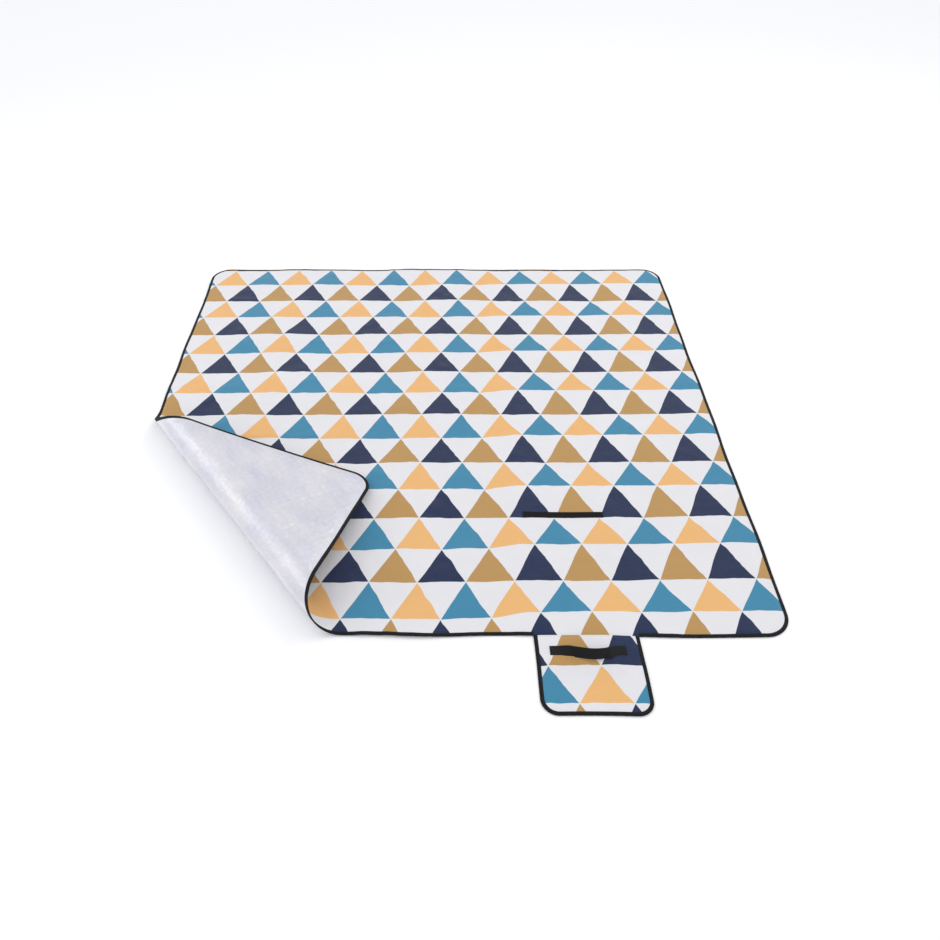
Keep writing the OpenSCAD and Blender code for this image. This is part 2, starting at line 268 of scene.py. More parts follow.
@dataclass(frozen=True)
class Waves:
    """Gentle unevenness of cloth that has been folded and spread out again."""

    swell: float = 4.6 * MM
    ripple: float = 1.3 * MM
    crease: float = 1.8 * MM
    crease_width: float = 15 * MM
    crease_x: tuple[float, ...] = (-0.6, -0.2)
    crease_y: tuple[float, ...] = (-0.72, -0.45, -0.16, 0.12, 0.42, 0.74)
    fold_from: float = 0.17
    fold: float = 0.6
    fold_ease: float = 0.06
    nest: float = 2.0 * MM
    strip: tuple[float, float] = (0.405, -0.540)
    strip_half: tuple[float, float] = (0.127, 0.0125)
    strip_room: float = 0.3 * MM
    strip_ease: float = 0.03
    edge_room: float = 0.03
    edge_clear: float = 1.2
    share_over: float = 0.08
    sway: float = 2.6 * MM
    sag_from: float = -0.86
    sag_over: float = 0.14
    sags: tuple[tuple[float, float, float], ...] = ((0.0, 0.20, 0.005), (0.80, 0.20, 0.009))
    seed: int = 11

    def swells(self, count: int, shortest: float, longest: float, seed: int) -> Array:
        """Wave vectors and phases of a sum of plane waves, one row each."""
        rng = np.random.default_rng(seed)
        number = 2.0 * math.pi / rng.uniform(shortest, longest, count)
        heading = rng.uniform(0.0, math.pi, count)
        return np.stack([number * np.cos(heading), number * np.sin(heading),
                         rng.uniform(0.0, 2.0 * math.pi, count)], axis=1)

    @staticmethod
    def summed(rows: Array, x: Array, y: Array) -> Array:
        """The waves' sum at each point, scaled to stay about -1 to 1."""
        phase = x[..., None] * rows[:, 0] + y[..., None] * rows[:, 1] + rows[:, 2]
        return np.sin(phase).sum(axis=-1) / (1.6 * math.sqrt(len(rows)))

    @cached_property
    def broad(self) -> Array:
        """Broad swells."""
        return self.swells(12, 0.20, 0.56, self.seed)

    @cached_property
    def short(self) -> Array:
        """Short ripples."""
        return self.swells(16, 0.05, 0.12, self.seed + 1)

    def ridges(self, x: Array, y: Array) -> Array:
        """Shallow rounded ridges, exp(-(d / width)^2), along the old folds that run left to right."""
        high = np.zeros(np.broadcast(x, y).shape)
        for i, place in enumerate(self.crease_y):
            bowed = place + 6 * MM * np.sin(3.1 * x + i)
            wander = 0.5 + 0.5 * np.sin(4.3 * x + 2.3 * i)
            high = high + wander * np.exp(-((y - bowed) / self.crease_width) ** 2)
        return high

    def loose(self, x: Array, y: Array) -> Array:
        """Height of the part that nothing folds onto: swells, ripples and ridges."""
        broad = self.summed(self.broad, x, y)
        short = self.summed(self.short, x, y)
        high = (self.swell * smooth(0.5 + 0.55 * broad)
                + self.ripple * (0.7 + short) * smooth(0.4 + broad))
        for i, place in enumerate(self.crease_x):
            wander = 0.55 + 0.45 * np.sin(5.1 * y + 1.7 * i)
            high = high + self.crease * wander * np.exp(-((x - place) / self.crease_width) ** 2)
        return np.maximum(high + self.crease * self.ridges(x, y), 0.0)

    def nested(self, x: Array, y: Array) -> Array:
        """Height of the two panels that fold face to face.

        A point and its mirror image in the fold rise by nest together, so the folded faces nest:
        h(x) on one side is nest - h(2 fold - x) on the other. Both lie low round the loop strip,
        and where the free edge comes down beside the inner fold.
        """
        mirror = np.where(x > self.fold, 2.0 * self.fold - x, x)
        swells, ripples = self.summed(self.broad, mirror, y), self.summed(self.short, mirror, y)
        wave = 0.9 * swells + 0.5 * ripples + 0.9 * self.ridges(mirror, y)
        fade = smooth((self.fold - mirror) / self.fold_ease)
        high = 0.5 * self.nest * (1.0 + np.tanh(1.6 * wave) * fade)
        off_x = np.abs(mirror - self.strip[0]) - self.strip_half[0]
        off_y = np.abs(y - self.strip[1]) - self.strip_half[1]
        near = smooth(1.0 - np.maximum(off_x, off_y) / self.strip_ease)
        outer = (self.nest - high) * (1.0 - near) + self.strip_room * near
        clear = smooth((mirror - self.fold_from) / self.edge_room - self.edge_clear)
        return np.where(x > self.fold, outer, high * (1.0 - near)) * clear

    def lift(self, x: Array, y: Array) -> Array:
        """Height of the cloth above the ground it would lie flat on, never below it."""
        share = smooth((x - self.fold_from + self.share_over) / self.share_over)
        return self.loose(x, y) * (1.0 - share) + self.nested(x, y) * share

    def drawn(self, x: Array, y: Array) -> tuple[Array, Array]:
        """Small shifts in the plane, by which the edges and the print wander from straight.

        Towards the front edge each sag pulls the cloth forward by depth exp(-((x - place) / width)^2).
        """
        dx = self.sway * (np.sin(9.1 * y + 1.3) + 0.5 * np.sin(23.0 * y + 4.0 * x)) / 1.5
        dy = self.sway * (np.sin(8.3 * x + 0.4) + 0.6 * np.sin(19.0 * x - 3.0 * y + 2.0)) / 1.6
        for place, width, depth in self.sags:
            front = smooth((self.sag_from - y) / self.sag_over)
            dy = dy - depth * np.exp(-((x - place) / width) ** 2) * front
        return dx, dy


@dataclass(frozen=True)
class FlapSizes:
    """The wrap-round flap, sewn to the front edge."""

    middle: float = 0.424
    width: float = 0.292
    length: float = 0.245
    radius: float = 0.046
    seam: float = -0.999
    valley_deep: float = 1.6 * MM
    valley_wide: float = 6 * MM
    valley_ease: float = 8 * MM

    @property
    def left(self) -> float:
        """The x of the flap's left edge."""
        return self.middle - self.width / 2.0

    @property
    def right(self) -> float:
        """The x of the flap's right edge."""
        return self.middle + self.width / 2.0

    @property
    def low(self) -> float:
        """The y of the flap's free edge."""
        return -1.0 - self.length

    def valley(self, x: Array, y: Array) -> Array:
        """Depth of the shallow valley along the seam, which runs out at the seam's two ends."""
        slot = smooth(np.minimum(x - self.left, self.right - x) / self.valley_ease)
        return self.valley_deep * slot * np.exp(-((y + 1.0) / self.valley_wide) ** 2)

    def inside(self, x: Array, y: Array) -> Array:
        """Distance in to the nearest of the three free edges, round at the two free corners."""
        qx = np.abs(x - self.middle) - (self.width / 2.0 - self.radius)
        qy = (self.low + self.radius) - y
        outer = np.hypot(np.maximum(qx, 0.0), np.maximum(qy, 0.0))
        return self.radius - outer - np.minimum(np.maximum(qx, qy), 0.0)


@dataclass(frozen=True)
class Build:
    """Sizes of the sewn edge, shared by the mat and the flap."""

    field: float = 5.0 * MM
    edge_cover: float = 3.5 * MM
    edge_backing: float = 0.62 * MM
    tape: float = 10.5 * MM
    tape_thick: float = 0.65 * MM
    puff: float = 16.0 * MM
    sewn_in: float = 0.76
    sewn_up: float = 1.15
    stitch_long: float = 0.78
    thread: float = 0.75 * MM
    thread_rise: float = 0.42 * MM

    def cover(self, inside: Array) -> Array:
        """Top of the fleece: crushed under the tape and swelling to its full height past it."""
        return self.edge_cover + (self.field - self.edge_cover) * smooth((inside - 5 * MM) / self.puff)

    def backing(self, inside: Array) -> Array:
        """Underside of the backing: lifted by the tape at the edge, on the ground past it."""
        return self.edge_backing * (1.0 - smooth((inside - 7 * MM) / (6 * MM)))

    def wadding(self, inside: Array) -> Array:
        """Middle of the wadding, between the other two."""
        return 0.42 * self.cover(inside) + 0.5 * self.backing(inside)


@dataclass
class Patch:
    """Part of a mesh: points, faces, the cloth coordinates of each point and its normal."""

    points: Array
    faces: Array
    cloth: Array
    normals: Array | None = None

    @staticmethod
    def grid(points: Array, cloth: Array, flip: bool = False, closed: bool = False,
             normals: Array | None = None) -> "Patch":
        """Makes a patch from a grid of points.

        Args:
            points: rows by columns by 3.
            cloth: rows by columns by 2, in metres.
            flip: turns the faces over.
            closed: joins the last column to the first.
            normals: rows by columns by 3, for smooth shading across pieces.

        Returns:
            The patch, with one quad for each cell.
        """
        rows, cols = points.shape[:2]
        index = np.arange(rows * cols).reshape(rows, cols)
        right = np.roll(index, -1, axis=1) if closed else index[:, 1:]
        here = index if closed else index[:, :-1]
        quads = np.stack([here[:-1], right[:-1], right[1:], here[1:]], axis=-1).reshape(-1, 4)
        if flip:
            quads = quads[:, ::-1]
        return Patch(points.reshape(-1, 3), quads, cloth.reshape(-1, 2),
                     None if normals is None else normals.reshape(-1, 3))

    @staticmethod
    def joined(patches: list["Patch"]) -> "Patch":
        """Several patches as one."""
        starts = np.cumsum([0] + [len(p.points) for p in patches[:-1]])
        normals = None
        if all(p.normals is not None for p in patches):
            normals = np.concatenate([p.normals for p in patches])
        return Patch(np.concatenate([p.points for p in patches]),
                     np.concatenate([p.faces + s for p, s in zip(patches, starts)]),
                     np.concatenate([p.cloth for p in patches]), normals)

    def area(self) -> float:
        """Area of the faces in cloth coordinates, by the shoelace rule."""
        c = self.cloth[self.faces]
        n = np.roll(c, -1, axis=1)
        return float(np.abs((c[..., 0] * n[..., 1] - n[..., 0] * c[..., 1]).sum(axis=1)).sum() / 2.0)

    def build(self, name: str, material: bpy.types.Material) -> bpy.types.Object:
        """Makes the mesh object, smooth, with its cloth coordinates as the UV map Cloth.

        Args:
            name: name of the piece.
            material: its finish.

        Returns:
            The new object, linked to the scene.
        """
        mesh = bpy.data.meshes.new(name)
        mesh.vertices.add(len(self.points))
        mesh.vertices.foreach_set("co", self.points.astype(np.float32).ravel())
        count = len(self.faces)
        mesh.loops.add(4 * count)
        mesh.loops.foreach_set("vertex_index", self.faces.astype(np.int32).ravel())
        mesh.polygons.add(count)
        mesh.polygons.foreach_set("loop_start", np.arange(0, 4 * count, 4, dtype=np.int32))
        mesh.update(calc_edges=True)
        mesh.polygons.foreach_set("use_smooth", np.ones(count, bool))
        layer = mesh.uv_layers.new(name="Cloth")
        layer.data.foreach_set("uv", self.cloth[self.faces.ravel()].astype(np.float32).ravel())
        mesh.materials.append(material)
        mesh.validate()
        if self.normals is not None:
            mesh.normals_split_custom_set_from_vertices(self.normals.tolist())
        piece = bpy.data.objects.new(name, mesh)
        bpy.context.scene.collection.objects.link(piece)
        return piece


class Graph:
    """Builds one material, a node at a time, round a Principled shader."""

    def __init__(self, name: str, colour: tuple[float, float, float], roughness: float) -> None:
        """Starts a material with its plain colour and roughness."""
        self.material = bpy.data.materials.new(name)
        self.material.use_nodes = True
        self.tree = self.material.node_tree
        self.shader = self.tree.nodes["Principled BSDF"]
        self.set("Base Color", (*colour, 1.0))
        self.set("Roughness", roughness)
        self.material.diffuse_color = (*colour, 1.0)

    def set(self, socket: str, value: object) -> None:
        """Sets a constant on the shader."""
        self.shader.inputs[socket].default_value = value

    def add(self, kind: str, **settings: object) -> bpy.types.Node:
        """Adds a node and sets its properties."""
        node = self.tree.nodes.new(kind)
        for key, value in settings.items():
            setattr(node, key, value)
        return node

    def feed(self, node: bpy.types.Node, socket: int | str, value: object) -> None:
        """Links a socket to an input, or sets the input to a constant."""
        if isinstance(value, bpy.types.NodeSocket):
            self.tree.links.new(value, node.inputs[socket])
        else:
            node.inputs[socket].default_value = value

    def math(self, operation: str, *values: object, clamp: bool = False) -> bpy.types.NodeSocket:
        """One arithmetic step."""
        node = self.add("ShaderNodeMath", operation=operation, use_clamp=clamp)
        for i, value in enumerate(values):
            self.feed(node, i, value)
        return node.outputs[0]

    def cloth(self) -> bpy.types.NodeSocket:
        """The piece's own cloth coordinates."""
        return self.add("ShaderNodeUVMap", uv_map="Cloth").outputs[0]

    def scaled(self, vector: bpy.types.NodeSocket, x: float, y: float) -> bpy.types.NodeSocket:
        """Cloth coordinates multiplied along and across."""
        node = self.add("ShaderNodeMapping")
        self.feed(node, "Vector", vector)
        node.inputs["Scale"].default_value = (x, y, 1.0)
        return node.outputs[0]

    def noise(self, vector: bpy.types.NodeSocket, scale: float, detail: float = 2.0,
              rough: float = 0.5) -> bpy.types.NodeSocket:
        """Smooth noise, about 0 to 1."""
        node = self.add("ShaderNodeTexNoise")
        self.feed(node, "Vector", vector)
        self.feed(node, "Scale", scale)
        self.feed(node, "Detail", detail)
        self.feed(node, "Roughness", rough)
        return node.outputs["Fac"]

    def mix(self, factor: object, a: object, b: object, blend: str = "MIX") -> bpy.types.NodeSocket:
        """Mixes two colours."""
        node = self.add("ShaderNodeMix", data_type="RGBA", blend_type=blend)
        self.feed(node, 0, factor)
        self.feed(node, 6, a)
        self.feed(node, 7, b)
        return node.outputs[2]

    def span(self, value: object, low: float, high: float) -> bpy.types.NodeSocket:
        """Maps 0 to 1 onto low to high."""
        return self.math("ADD", self.math("MULTIPLY", value, high - low), low)

    def grey(self, value: bpy.types.NodeSocket) -> bpy.types.NodeSocket:
        """A number as a grey colour."""
        node = self.add("ShaderNodeCombineColor")
        for i in range(3):
            self.feed(node, i, value)
        return node.outputs[0]

    def hump(self, value: bpy.types.NodeSocket, middle: float, width: float) -> bpy.types.NodeSocket:
        """A smooth band, exp(-((value - middle) / width)^2)."""
        off = self.math("DIVIDE", self.math("SUBTRACT", value, middle), width)
        return self.math("EXPONENT", self.math("MULTIPLY", self.math("MULTIPLY", off, off), -1.0))

    def bump(self, height: bpy.types.NodeSocket, distance: float, strength: float = 1.0,
             under: bpy.types.NodeSocket | None = None) -> bpy.types.NodeSocket:
        """Relief from a height of 0 to 1 that stands distance metres proud."""
        node = self.add("ShaderNodeBump")
        self.feed(node, "Height", height)
        self.feed(node, "Distance", distance)
        self.feed(node, "Strength", strength)
        if under is not None:
            self.feed(node, "Normal", under)
        return node.outputs[0]

    def finish(self, colour: bpy.types.NodeSocket | None = None, roughness: object = None,
               normal: bpy.types.NodeSocket | None = None) -> bpy.types.Material:
        """Links what varies over the surface and returns the material."""
        for socket, value in (("Base Color", colour), ("Roughness", roughness), ("Normal", normal)):
            if value is not None:
                self.feed(self.shader, socket, value)
        return self.material


def linear(red: int, green: int, blue: int) -> tuple[float, float, float]:
    """A display colour of 0 to 255 as linear light."""
    values = np.array([red, green, blue]) / 255.0
    low = values / 12.92
    high = ((values + 0.055) / 1.055) ** 2.4
    return tuple(float(v) for v in np.where(values <= 0.04045, low, high))


@dataclass(frozen=True)
class PrintedFleece:
    """Brushed fleece printed with rows of upright triangles in four colours on white."""

    across: float = 2.0 / 14.1
    row: float = 2.0 / 15.5
    shift_u: float = 6.8425
    shift_v: float = 7.677
    line: float = 0.0028
    soft: float = 0.006
    tilt: float = -0.007
    fold: float = 0.17
    fold_width: float = 0.10
    slip: float = 0.05
    skew: float = 0.06
    uneven: float = 0.06
    white: tuple[float, float, float] = linear(224, 223, 226)
    orange: tuple[float, float, float] = linear(231, 178, 114)
    teal: tuple[float, float, float] = linear(59, 131, 164)
    tan: tuple[float, float, float] = linear(182, 142, 84)
    navy: tuple[float, float, float] = linear(20, 37, 73)

    def material(self) -> bpy.types.Material:
        """Builds the print, the nap's flecks and the fine cross ribs.

        A row's number is the ceiling of v, and f is how far up it a point is. Even rows are moved
        half a triangle. A point is printed where its distance from the triangle's middle line is
        under (1 - f) / 2, less a thin white line. The parity of the row and of the column choose
        the colour. Past the inner fold the cloth sits slip rows further back, by turns more and
        less: v rises by slip - skew y - uneven cos(pi v).
        """
        g = Graph("printed_fleece", self.white, 0.92)
        uv = g.cloth()
        parts = g.add("ShaderNodeSeparateXYZ")
        g.feed(parts, 0, uv)
        drift = g.math("SUBTRACT", g.noise(uv, 5.0, 1.0), 0.5)
        jitter = g.math("SUBTRACT", g.noise(uv, 17.0, 2.0), 0.5)
        u = g.math("ADD", g.math("DIVIDE", parts.outputs[0], self.across), self.shift_u)
        u = g.math("ADD", u, g.math("MULTIPLY", drift, 0.05))
        slanted = g.math("ADD", parts.outputs[1], g.math("MULTIPLY", parts.outputs[0], self.tilt))
        v = g.math("SUBTRACT", self.shift_v, g.math("DIVIDE", slanted, self.row))
        v = g.math("ADD", v, g.math("MULTIPLY", drift, -0.05))
        past = g.math("SUBTRACT", parts.outputs[0], self.fold)
        past = g.math("DIVIDE", past, self.fold_width, clamp=True)
        turns = g.math("MULTIPLY", g.math("COSINE", g.math("MULTIPLY", v, math.pi)), self.uneven)
        slip = g.math("SUBTRACT", self.slip, g.math("MULTIPLY", parts.outputs[1], self.skew))
        v = g.math("ADD", v, g.math("MULTIPLY", past, g.math("SUBTRACT", slip, turns)))
        v = g.math("ADD", v, g.math("MULTIPLY", jitter, 0.075))
        u = g.math("ADD", u, g.math("MULTIPLY", jitter, -0.065))
        number = g.math("CEIL", v)
        f = g.math("SUBTRACT", number, v)
        even = g.math("LESS_THAN", g.math("FLOORED_MODULO", number, 2.0), 0.5)
        shifted = g.math("SUBTRACT", u, g.math("MULTIPLY", even, 0.5))
        column = g.math("FLOOR", shifted)
        odd_column = g.math("GREATER_THAN", g.math("FLOORED_MODULO", column, 2.0), 0.5)
        off = g.math("ABSOLUTE", g.math("SUBTRACT", g.math("SUBTRACT", shifted, column), 0.5))
        half = g.math("MULTIPLY", g.math("SUBTRACT", 1.0, f), 0.5)
        room = g.math("SUBTRACT", g.math("SUBTRACT", half, off), self.line)
        room = g.math("MINIMUM", room, g.math("SUBTRACT", f, self.line))
        inked = g.math("DIVIDE", room, self.soft, clamp=True)
        odd_row = g.mix(odd_column, (*self.orange, 1), (*self.teal, 1))
        even_row = g.mix(odd_column, (*self.navy, 1), (*self.tan, 1))
        ink = g.mix(even, odd_row, even_row)
        fibres = g.noise(g.scaled(uv, 1.0, 3.0), 520.0, 3.0, 0.65)
        flecks = g.math("MULTIPLY", g.math("SUBTRACT", fibres, 0.5), 0.9, clamp=True)
        ink = g.mix(g.math("MULTIPLY", flecks, 0.35), ink, (*self.white, 1))
        colour = g.mix(inked, (*self.white, 1), ink)
        worn = g.noise(uv, 9.0, 4.0, 0.6)
        nap = g.noise(g.scaled(uv, 1.0, 4.0), 110.0, 3.0, 0.6)
        shade = g.math("MULTIPLY", g.span(worn, 0.955, 1.03), g.span(nap, 0.955, 1.035))
        colour = g.mix(1.0, colour, g.grey(shade), "MULTIPLY")
        g.set("Sheen Weight", 0.22)
        g.set("Sheen Roughness", 0.55)
        g.set("Specular IOR Level", 0.15)
        soft_folds = g.bump(g.noise(uv, 11.0, 3.0, 0.55), 7.0 * MM, 0.5)
        ribs = g.bump(nap, 1.2 * MM, 0.7, soft_folds)
        normal = g.bump(fibres, 0.35 * MM, 0.6, ribs)
        return g.finish(colour, None, normal)


@dataclass(frozen=True)
class FoilBacking:
    """Silver foil bonded to thin foam: matt and cloudy, with fine crinkles and drag lines."""

    colour: tuple[float, float, float] = linear(231, 228, 230)
    cool: tuple[float, float, float] = linear(206, 207, 223)
    # painted dark reflection and painted highlight: colours, places past the bend's line and widths of
    # two bands where the corner bends over
    painted_dark_reflection: tuple[float, float, float] = linear(150, 158, 184)
    painted_highlight: tuple[float, float, float] = linear(246, 248, 252)
    painted_dark_reflection_at: tuple[float, float] = (0.080, 0.006)
    painted_highlight_at: tuple[float, float] = (0.102, 0.011)
    roll: Roll = Roll()

    def material(self) -> bpy.types.Material:
        """Builds the crinkled foil: two sizes of creased cells and long drag lines over clouds.

        Where the corner bends over, the colour has a painted dark reflection line with a painted
        highlight line beside it, at set distances past the bend's line.
        """
        g = Graph("foil_backing", self.colour, 0.40)
        uv = g.cloth()
        cloud = g.noise(uv, 6.0, 4.0, 0.6)
        parts = g.add("ShaderNodeSeparateXYZ")
        g.feed(parts, 0, uv)
        away = self.roll.away
        past = g.math("ADD", g.math("MULTIPLY", parts.outputs[0], float(away[0])),
                      g.math("MULTIPLY", parts.outputs[1], float(away[1])))
        past = g.math("SUBTRACT", past, float(away @ self.roll.start))
        wander = g.add("ShaderNodeVectorMath", operation="ADD")
        turn = g.add("ShaderNodeTexNoise")
        g.feed(turn, "Vector", uv)
        g.feed(turn, "Scale", 30.0)
        g.feed(wander, 0, uv)
        bend = g.add("ShaderNodeVectorMath", operation="SCALE")
        g.feed(bend, 0, turn.outputs["Color"])
        g.feed(bend, "Scale", 0.02)
        g.feed(wander, 1, bend.outputs[0])
        creases = []
        for scale in (48.0, 130.0):
            cell = g.add("ShaderNodeTexVoronoi", feature="DISTANCE_TO_EDGE")
            g.feed(cell, "Vector", wander.outputs[0])
            g.feed(cell, "Scale", scale)
            creases.append(g.math("POWER", g.math("MULTIPLY", cell.outputs[0], 2.2, clamp=True), 0.5))
        turned = g.add("ShaderNodeMapping", vector_type="POINT")
        g.feed(turned, "Vector", wander.outputs[0])
        along = self.roll.along
        g.feed(turned, "Rotation", (0.0, 0.0, -math.atan2(float(along[1]), float(along[0]))))
        drag = g.noise(g.scaled(turned.outputs[0], 0.16, 1.0), 80.0, 3.0, 0.6)
        patch = g.noise(g.scaled(turned.outputs[0], 0.45, 1.0), 13.0, 3.0, 0.55)
        grain = g.noise(uv, 420.0, 3.0, 0.6)
        relief = g.bump(creases[0], 0.9 * MM, 0.6)
        relief = g.bump(drag, 2.2 * MM, 0.6, relief)
        relief = g.bump(creases[1], 0.4 * MM, 0.55, relief)
        relief = g.bump(grain, 0.12 * MM, 0.5, relief)
        g.set("Metallic", 0.6)
        # painted shade: the colour darkens along the crinkles' crease lines and in the drag lines'
        # grooves, and lightens on their ridges; the clouds vary the tone at random
        tone = g.math("MULTIPLY", g.span(cloud, 0.91, 1.04), g.span(creases[0], 0.93, 1.0))
        tone = g.math("MULTIPLY", tone, g.span(drag, 0.93, 1.06))
        colour = g.mix(g.span(patch, -0.35, 1.25), (*self.colour, 1), (*self.cool, 1))
        colour = g.mix(1.0, colour, g.grey(tone), "MULTIPLY")
        # painted dark reflection: a darker blue line at a set distance past the bend's line
        colour = g.mix(g.math("MULTIPLY", g.hump(past, *self.painted_dark_reflection_at), 0.5), colour, (*self.painted_dark_reflection, 1))
        # painted highlight: a pale line just past it, patchy with the clouds
        painted_highlight_mask = g.math("MULTIPLY", g.hump(past, *self.painted_highlight_at), g.span(cloud, 0.2, 1.0))
        colour = g.mix(g.math("MULTIPLY", painted_highlight_mask, 0.6), colour, (*self.painted_highlight, 1))
        return g.finish(colour, g.span(cloud, 0.36, 0.50), relief)


@dataclass(frozen=True)
class WovenBlack:
    """Black woven tape: weft ribs across it, a finer warp along it, and dusty wear on its edges."""

    name: str
    rib: float
    warp: float
    roughness: float = 0.68
    colour: tuple[float, float, float] = (0.0055, 0.0055, 0.0065)

    def material(self) -> bpy.types.Material:
        """Builds the weave from two crossed sine waves of the piece's own length and width."""
        g = Graph(self.name, self.colour, self.roughness)
        uv = g.cloth()
        parts = g.add("ShaderNodeSeparateXYZ")
        g.feed(parts, 0, uv)
        weft = g.math("SINE", g.math("MULTIPLY", parts.outputs[0], 2.0 * math.pi / self.rib))
        warp = g.math("SINE", g.math("MULTIPLY", parts.outputs[1], 2.0 * math.pi / self.warp))
        cross = g.math("MULTIPLY", weft, warp)
        mixed = g.math("ADD", g.math("MULTIPLY", weft, 0.3), g.math("MULTIPLY", cross, 0.5))
        weave = g.span(mixed, 0.5, 1.0)
        lint = g.noise(uv, 260.0, 4.0, 0.7)
        dust = g.noise(uv, 14.0, 3.0, 0.6)
        # painted shade: the weave is darker in its grooves and lighter on its ribs, following the bump's
        # height; the dust varies the tone at random
        tone = g.math("MULTIPLY", g.span(weave, 0.7, 1.35), g.span(dust, 0.75, 1.5))
        colour = g.mix(1.0, (*self.colour, 1), g.grey(tone), "MULTIPLY")
        pale = g.math("MULTIPLY", g.math("GREATER_THAN", lint, 0.68), 0.03)
        colour = g.mix(pale, colour, (0.30, 0.30, 0.32, 1))
        g.set("Sheen Weight", 0.03)
        g.set("Sheen Roughness", 0.5)
        g.set("Specular IOR Level", 0.18)
        return g.finish(colour, g.span(dust, self.roughness - 0.08, self.roughness + 0.1),
                        g.bump(weave, 0.25 * MM, 0.9))


@dataclass(frozen=True)
class FastenerPile:
    """Touch fastener: a matt black field of loops or of small hooks."""

    name: str
    spacing: float
    proud: float
    colour: tuple[float, float, float] = (0.006, 0.006, 0.007)

    def material(self) -> bpy.types.Material:
        """Builds the pile from rounded cells, one to a loop or hook, and a scatter of lint."""
        g = Graph(self.name, self.colour, 0.88)
        uv = g.cloth()
        cell = g.add("ShaderNodeTexVoronoi", feature="F1")
        g.feed(cell, "Vector", uv)
        g.feed(cell, "Scale", 1.0 / self.spacing)
        tuft = g.math("SUBTRACT", 1.0, cell.outputs["Distance"], clamp=True)
        lint = g.noise(uv, 340.0, 4.0, 0.7)
        # painted shade: each loop or hook is lighter at its middle and darker between, following the
        # bump's height
        colour = g.mix(1.0, (*self.colour, 1), g.grey(g.span(tuft, 0.5, 1.9)), "MULTIPLY")
        colour = g.mix(g.math("MULTIPLY", g.math("GREATER_THAN", lint, 0.64), 0.08), colour,
                       (0.35, 0.35, 0.37, 1))
        g.set("Sheen Weight", 0.04)
        g.set("Specular IOR Level", 0.15)
        return g.finish(colour, None, g.bump(tuft, self.proud, 0.9))


@dataclass(frozen=True)
class Thread:
    """Sewing thread, twisted, with a slight gloss."""

    name: str = "thread"
    colour: tuple[float, float, float] = (0.012, 0.012, 0.014)

    def material(self) -> bpy.types.Material:
        """Builds the thread's twist from a slanting wave of its own length and width."""
        g = Graph(self.name, self.colour, 0.5)
        parts = g.add("ShaderNodeSeparateXYZ")
        g.feed(parts, 0, g.cloth())
        slant = g.math("ADD", g.math("MULTIPLY", parts.outputs[0], 9000.0),
                       g.math("MULTIPLY", parts.outputs[1], 5000.0))
        twist = g.span(g.math("SINE", slant), 0.5, 1.0)
        # painted shade: the twist is darker in its grooves and lighter on its crests, following the
        # bump's height
        colour = g.mix(1.0, (*self.colour, 1), g.grey(g.span(twist, 0.6, 1.5)), "MULTIPLY")
        return g.finish(colour, None, g.bump(twist, 0.08 * MM, 0.8))


@dataclass(frozen=True)
class Wadding:
    """White fibre wadding, hidden between the cover and the backing."""

    colour: tuple[float, float, float] = linear(236, 236, 232)

    def material(self) -> bpy.types.Material:
        """Builds a matt tangle of fibres."""
        g = Graph("wadding", self.colour, 0.95)
        tangle = g.noise(g.cloth(), 180.0, 5.0, 0.7)
        colour = g.mix(1.0, (*self.colour, 1), g.grey(g.span(tangle, 0.86, 1.05)), "MULTIPLY")
        return g.finish(colour, None, g.bump(tangle, 0.8 * MM, 0.6))


@dataclass
class Finishes:
    """Every finish, made once."""

    fleece: bpy.types.Material = field(default_factory=lambda: PrintedFleece().material())
    foil: bpy.types.Material = field(default_factory=lambda: FoilBacking().material())
    wadding: bpy.types.Material = field(default_factory=lambda: Wadding().material())
    tape: bpy.types.Material = field(
        default_factory=lambda: WovenBlack("edge_tape", 1.1 * MM, 0.9 * MM).material())
    webbing: bpy.types.Material = field(
        default_factory=lambda: WovenBlack("webbing", 2.2 * MM, 1.5 * MM, 0.6).material())
    thread: bpy.types.Material = field(default_factory=lambda: Thread().material())
    loops: bpy.types.Material = field(
        default_factory=lambda: FastenerPile("loop_pile", 1.3 * MM, 0.5 * MM).material())
    hooks: bpy.types.Material = field(
        default_factory=lambda: FastenerPile("hook_pile", 1.8 * MM, 0.7 * MM).material())

    def layer(self, layer: Layer) -> tuple[bpy.types.Material, str]:
        """A layer's finish and the name of its material slot."""
        return {Layer.COVER: (self.fleece, "printed_fleece"), Layer.WADDING: (self.wadding, "wadding"),
                Layer.BACKING: (self.foil, "foil_backing")}[layer]


def record(piece: bpy.types.Object, nodes: tuple[str, ...] = ()) -> bpy.types.Object:
    """Notes the CAD nodes that a finished piece stands for, and reports it.

    Args:
        piece: the finished piece.
        nodes: the nodes that it replaces.

    Returns:
        The same piece.
    """
    if nodes:
        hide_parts(*nodes)
    LOG.info("%s: %d faces, in place of %s", piece.name, len(piece.data.polygons),
             ", ".join(nodes) or "none")
    return piece


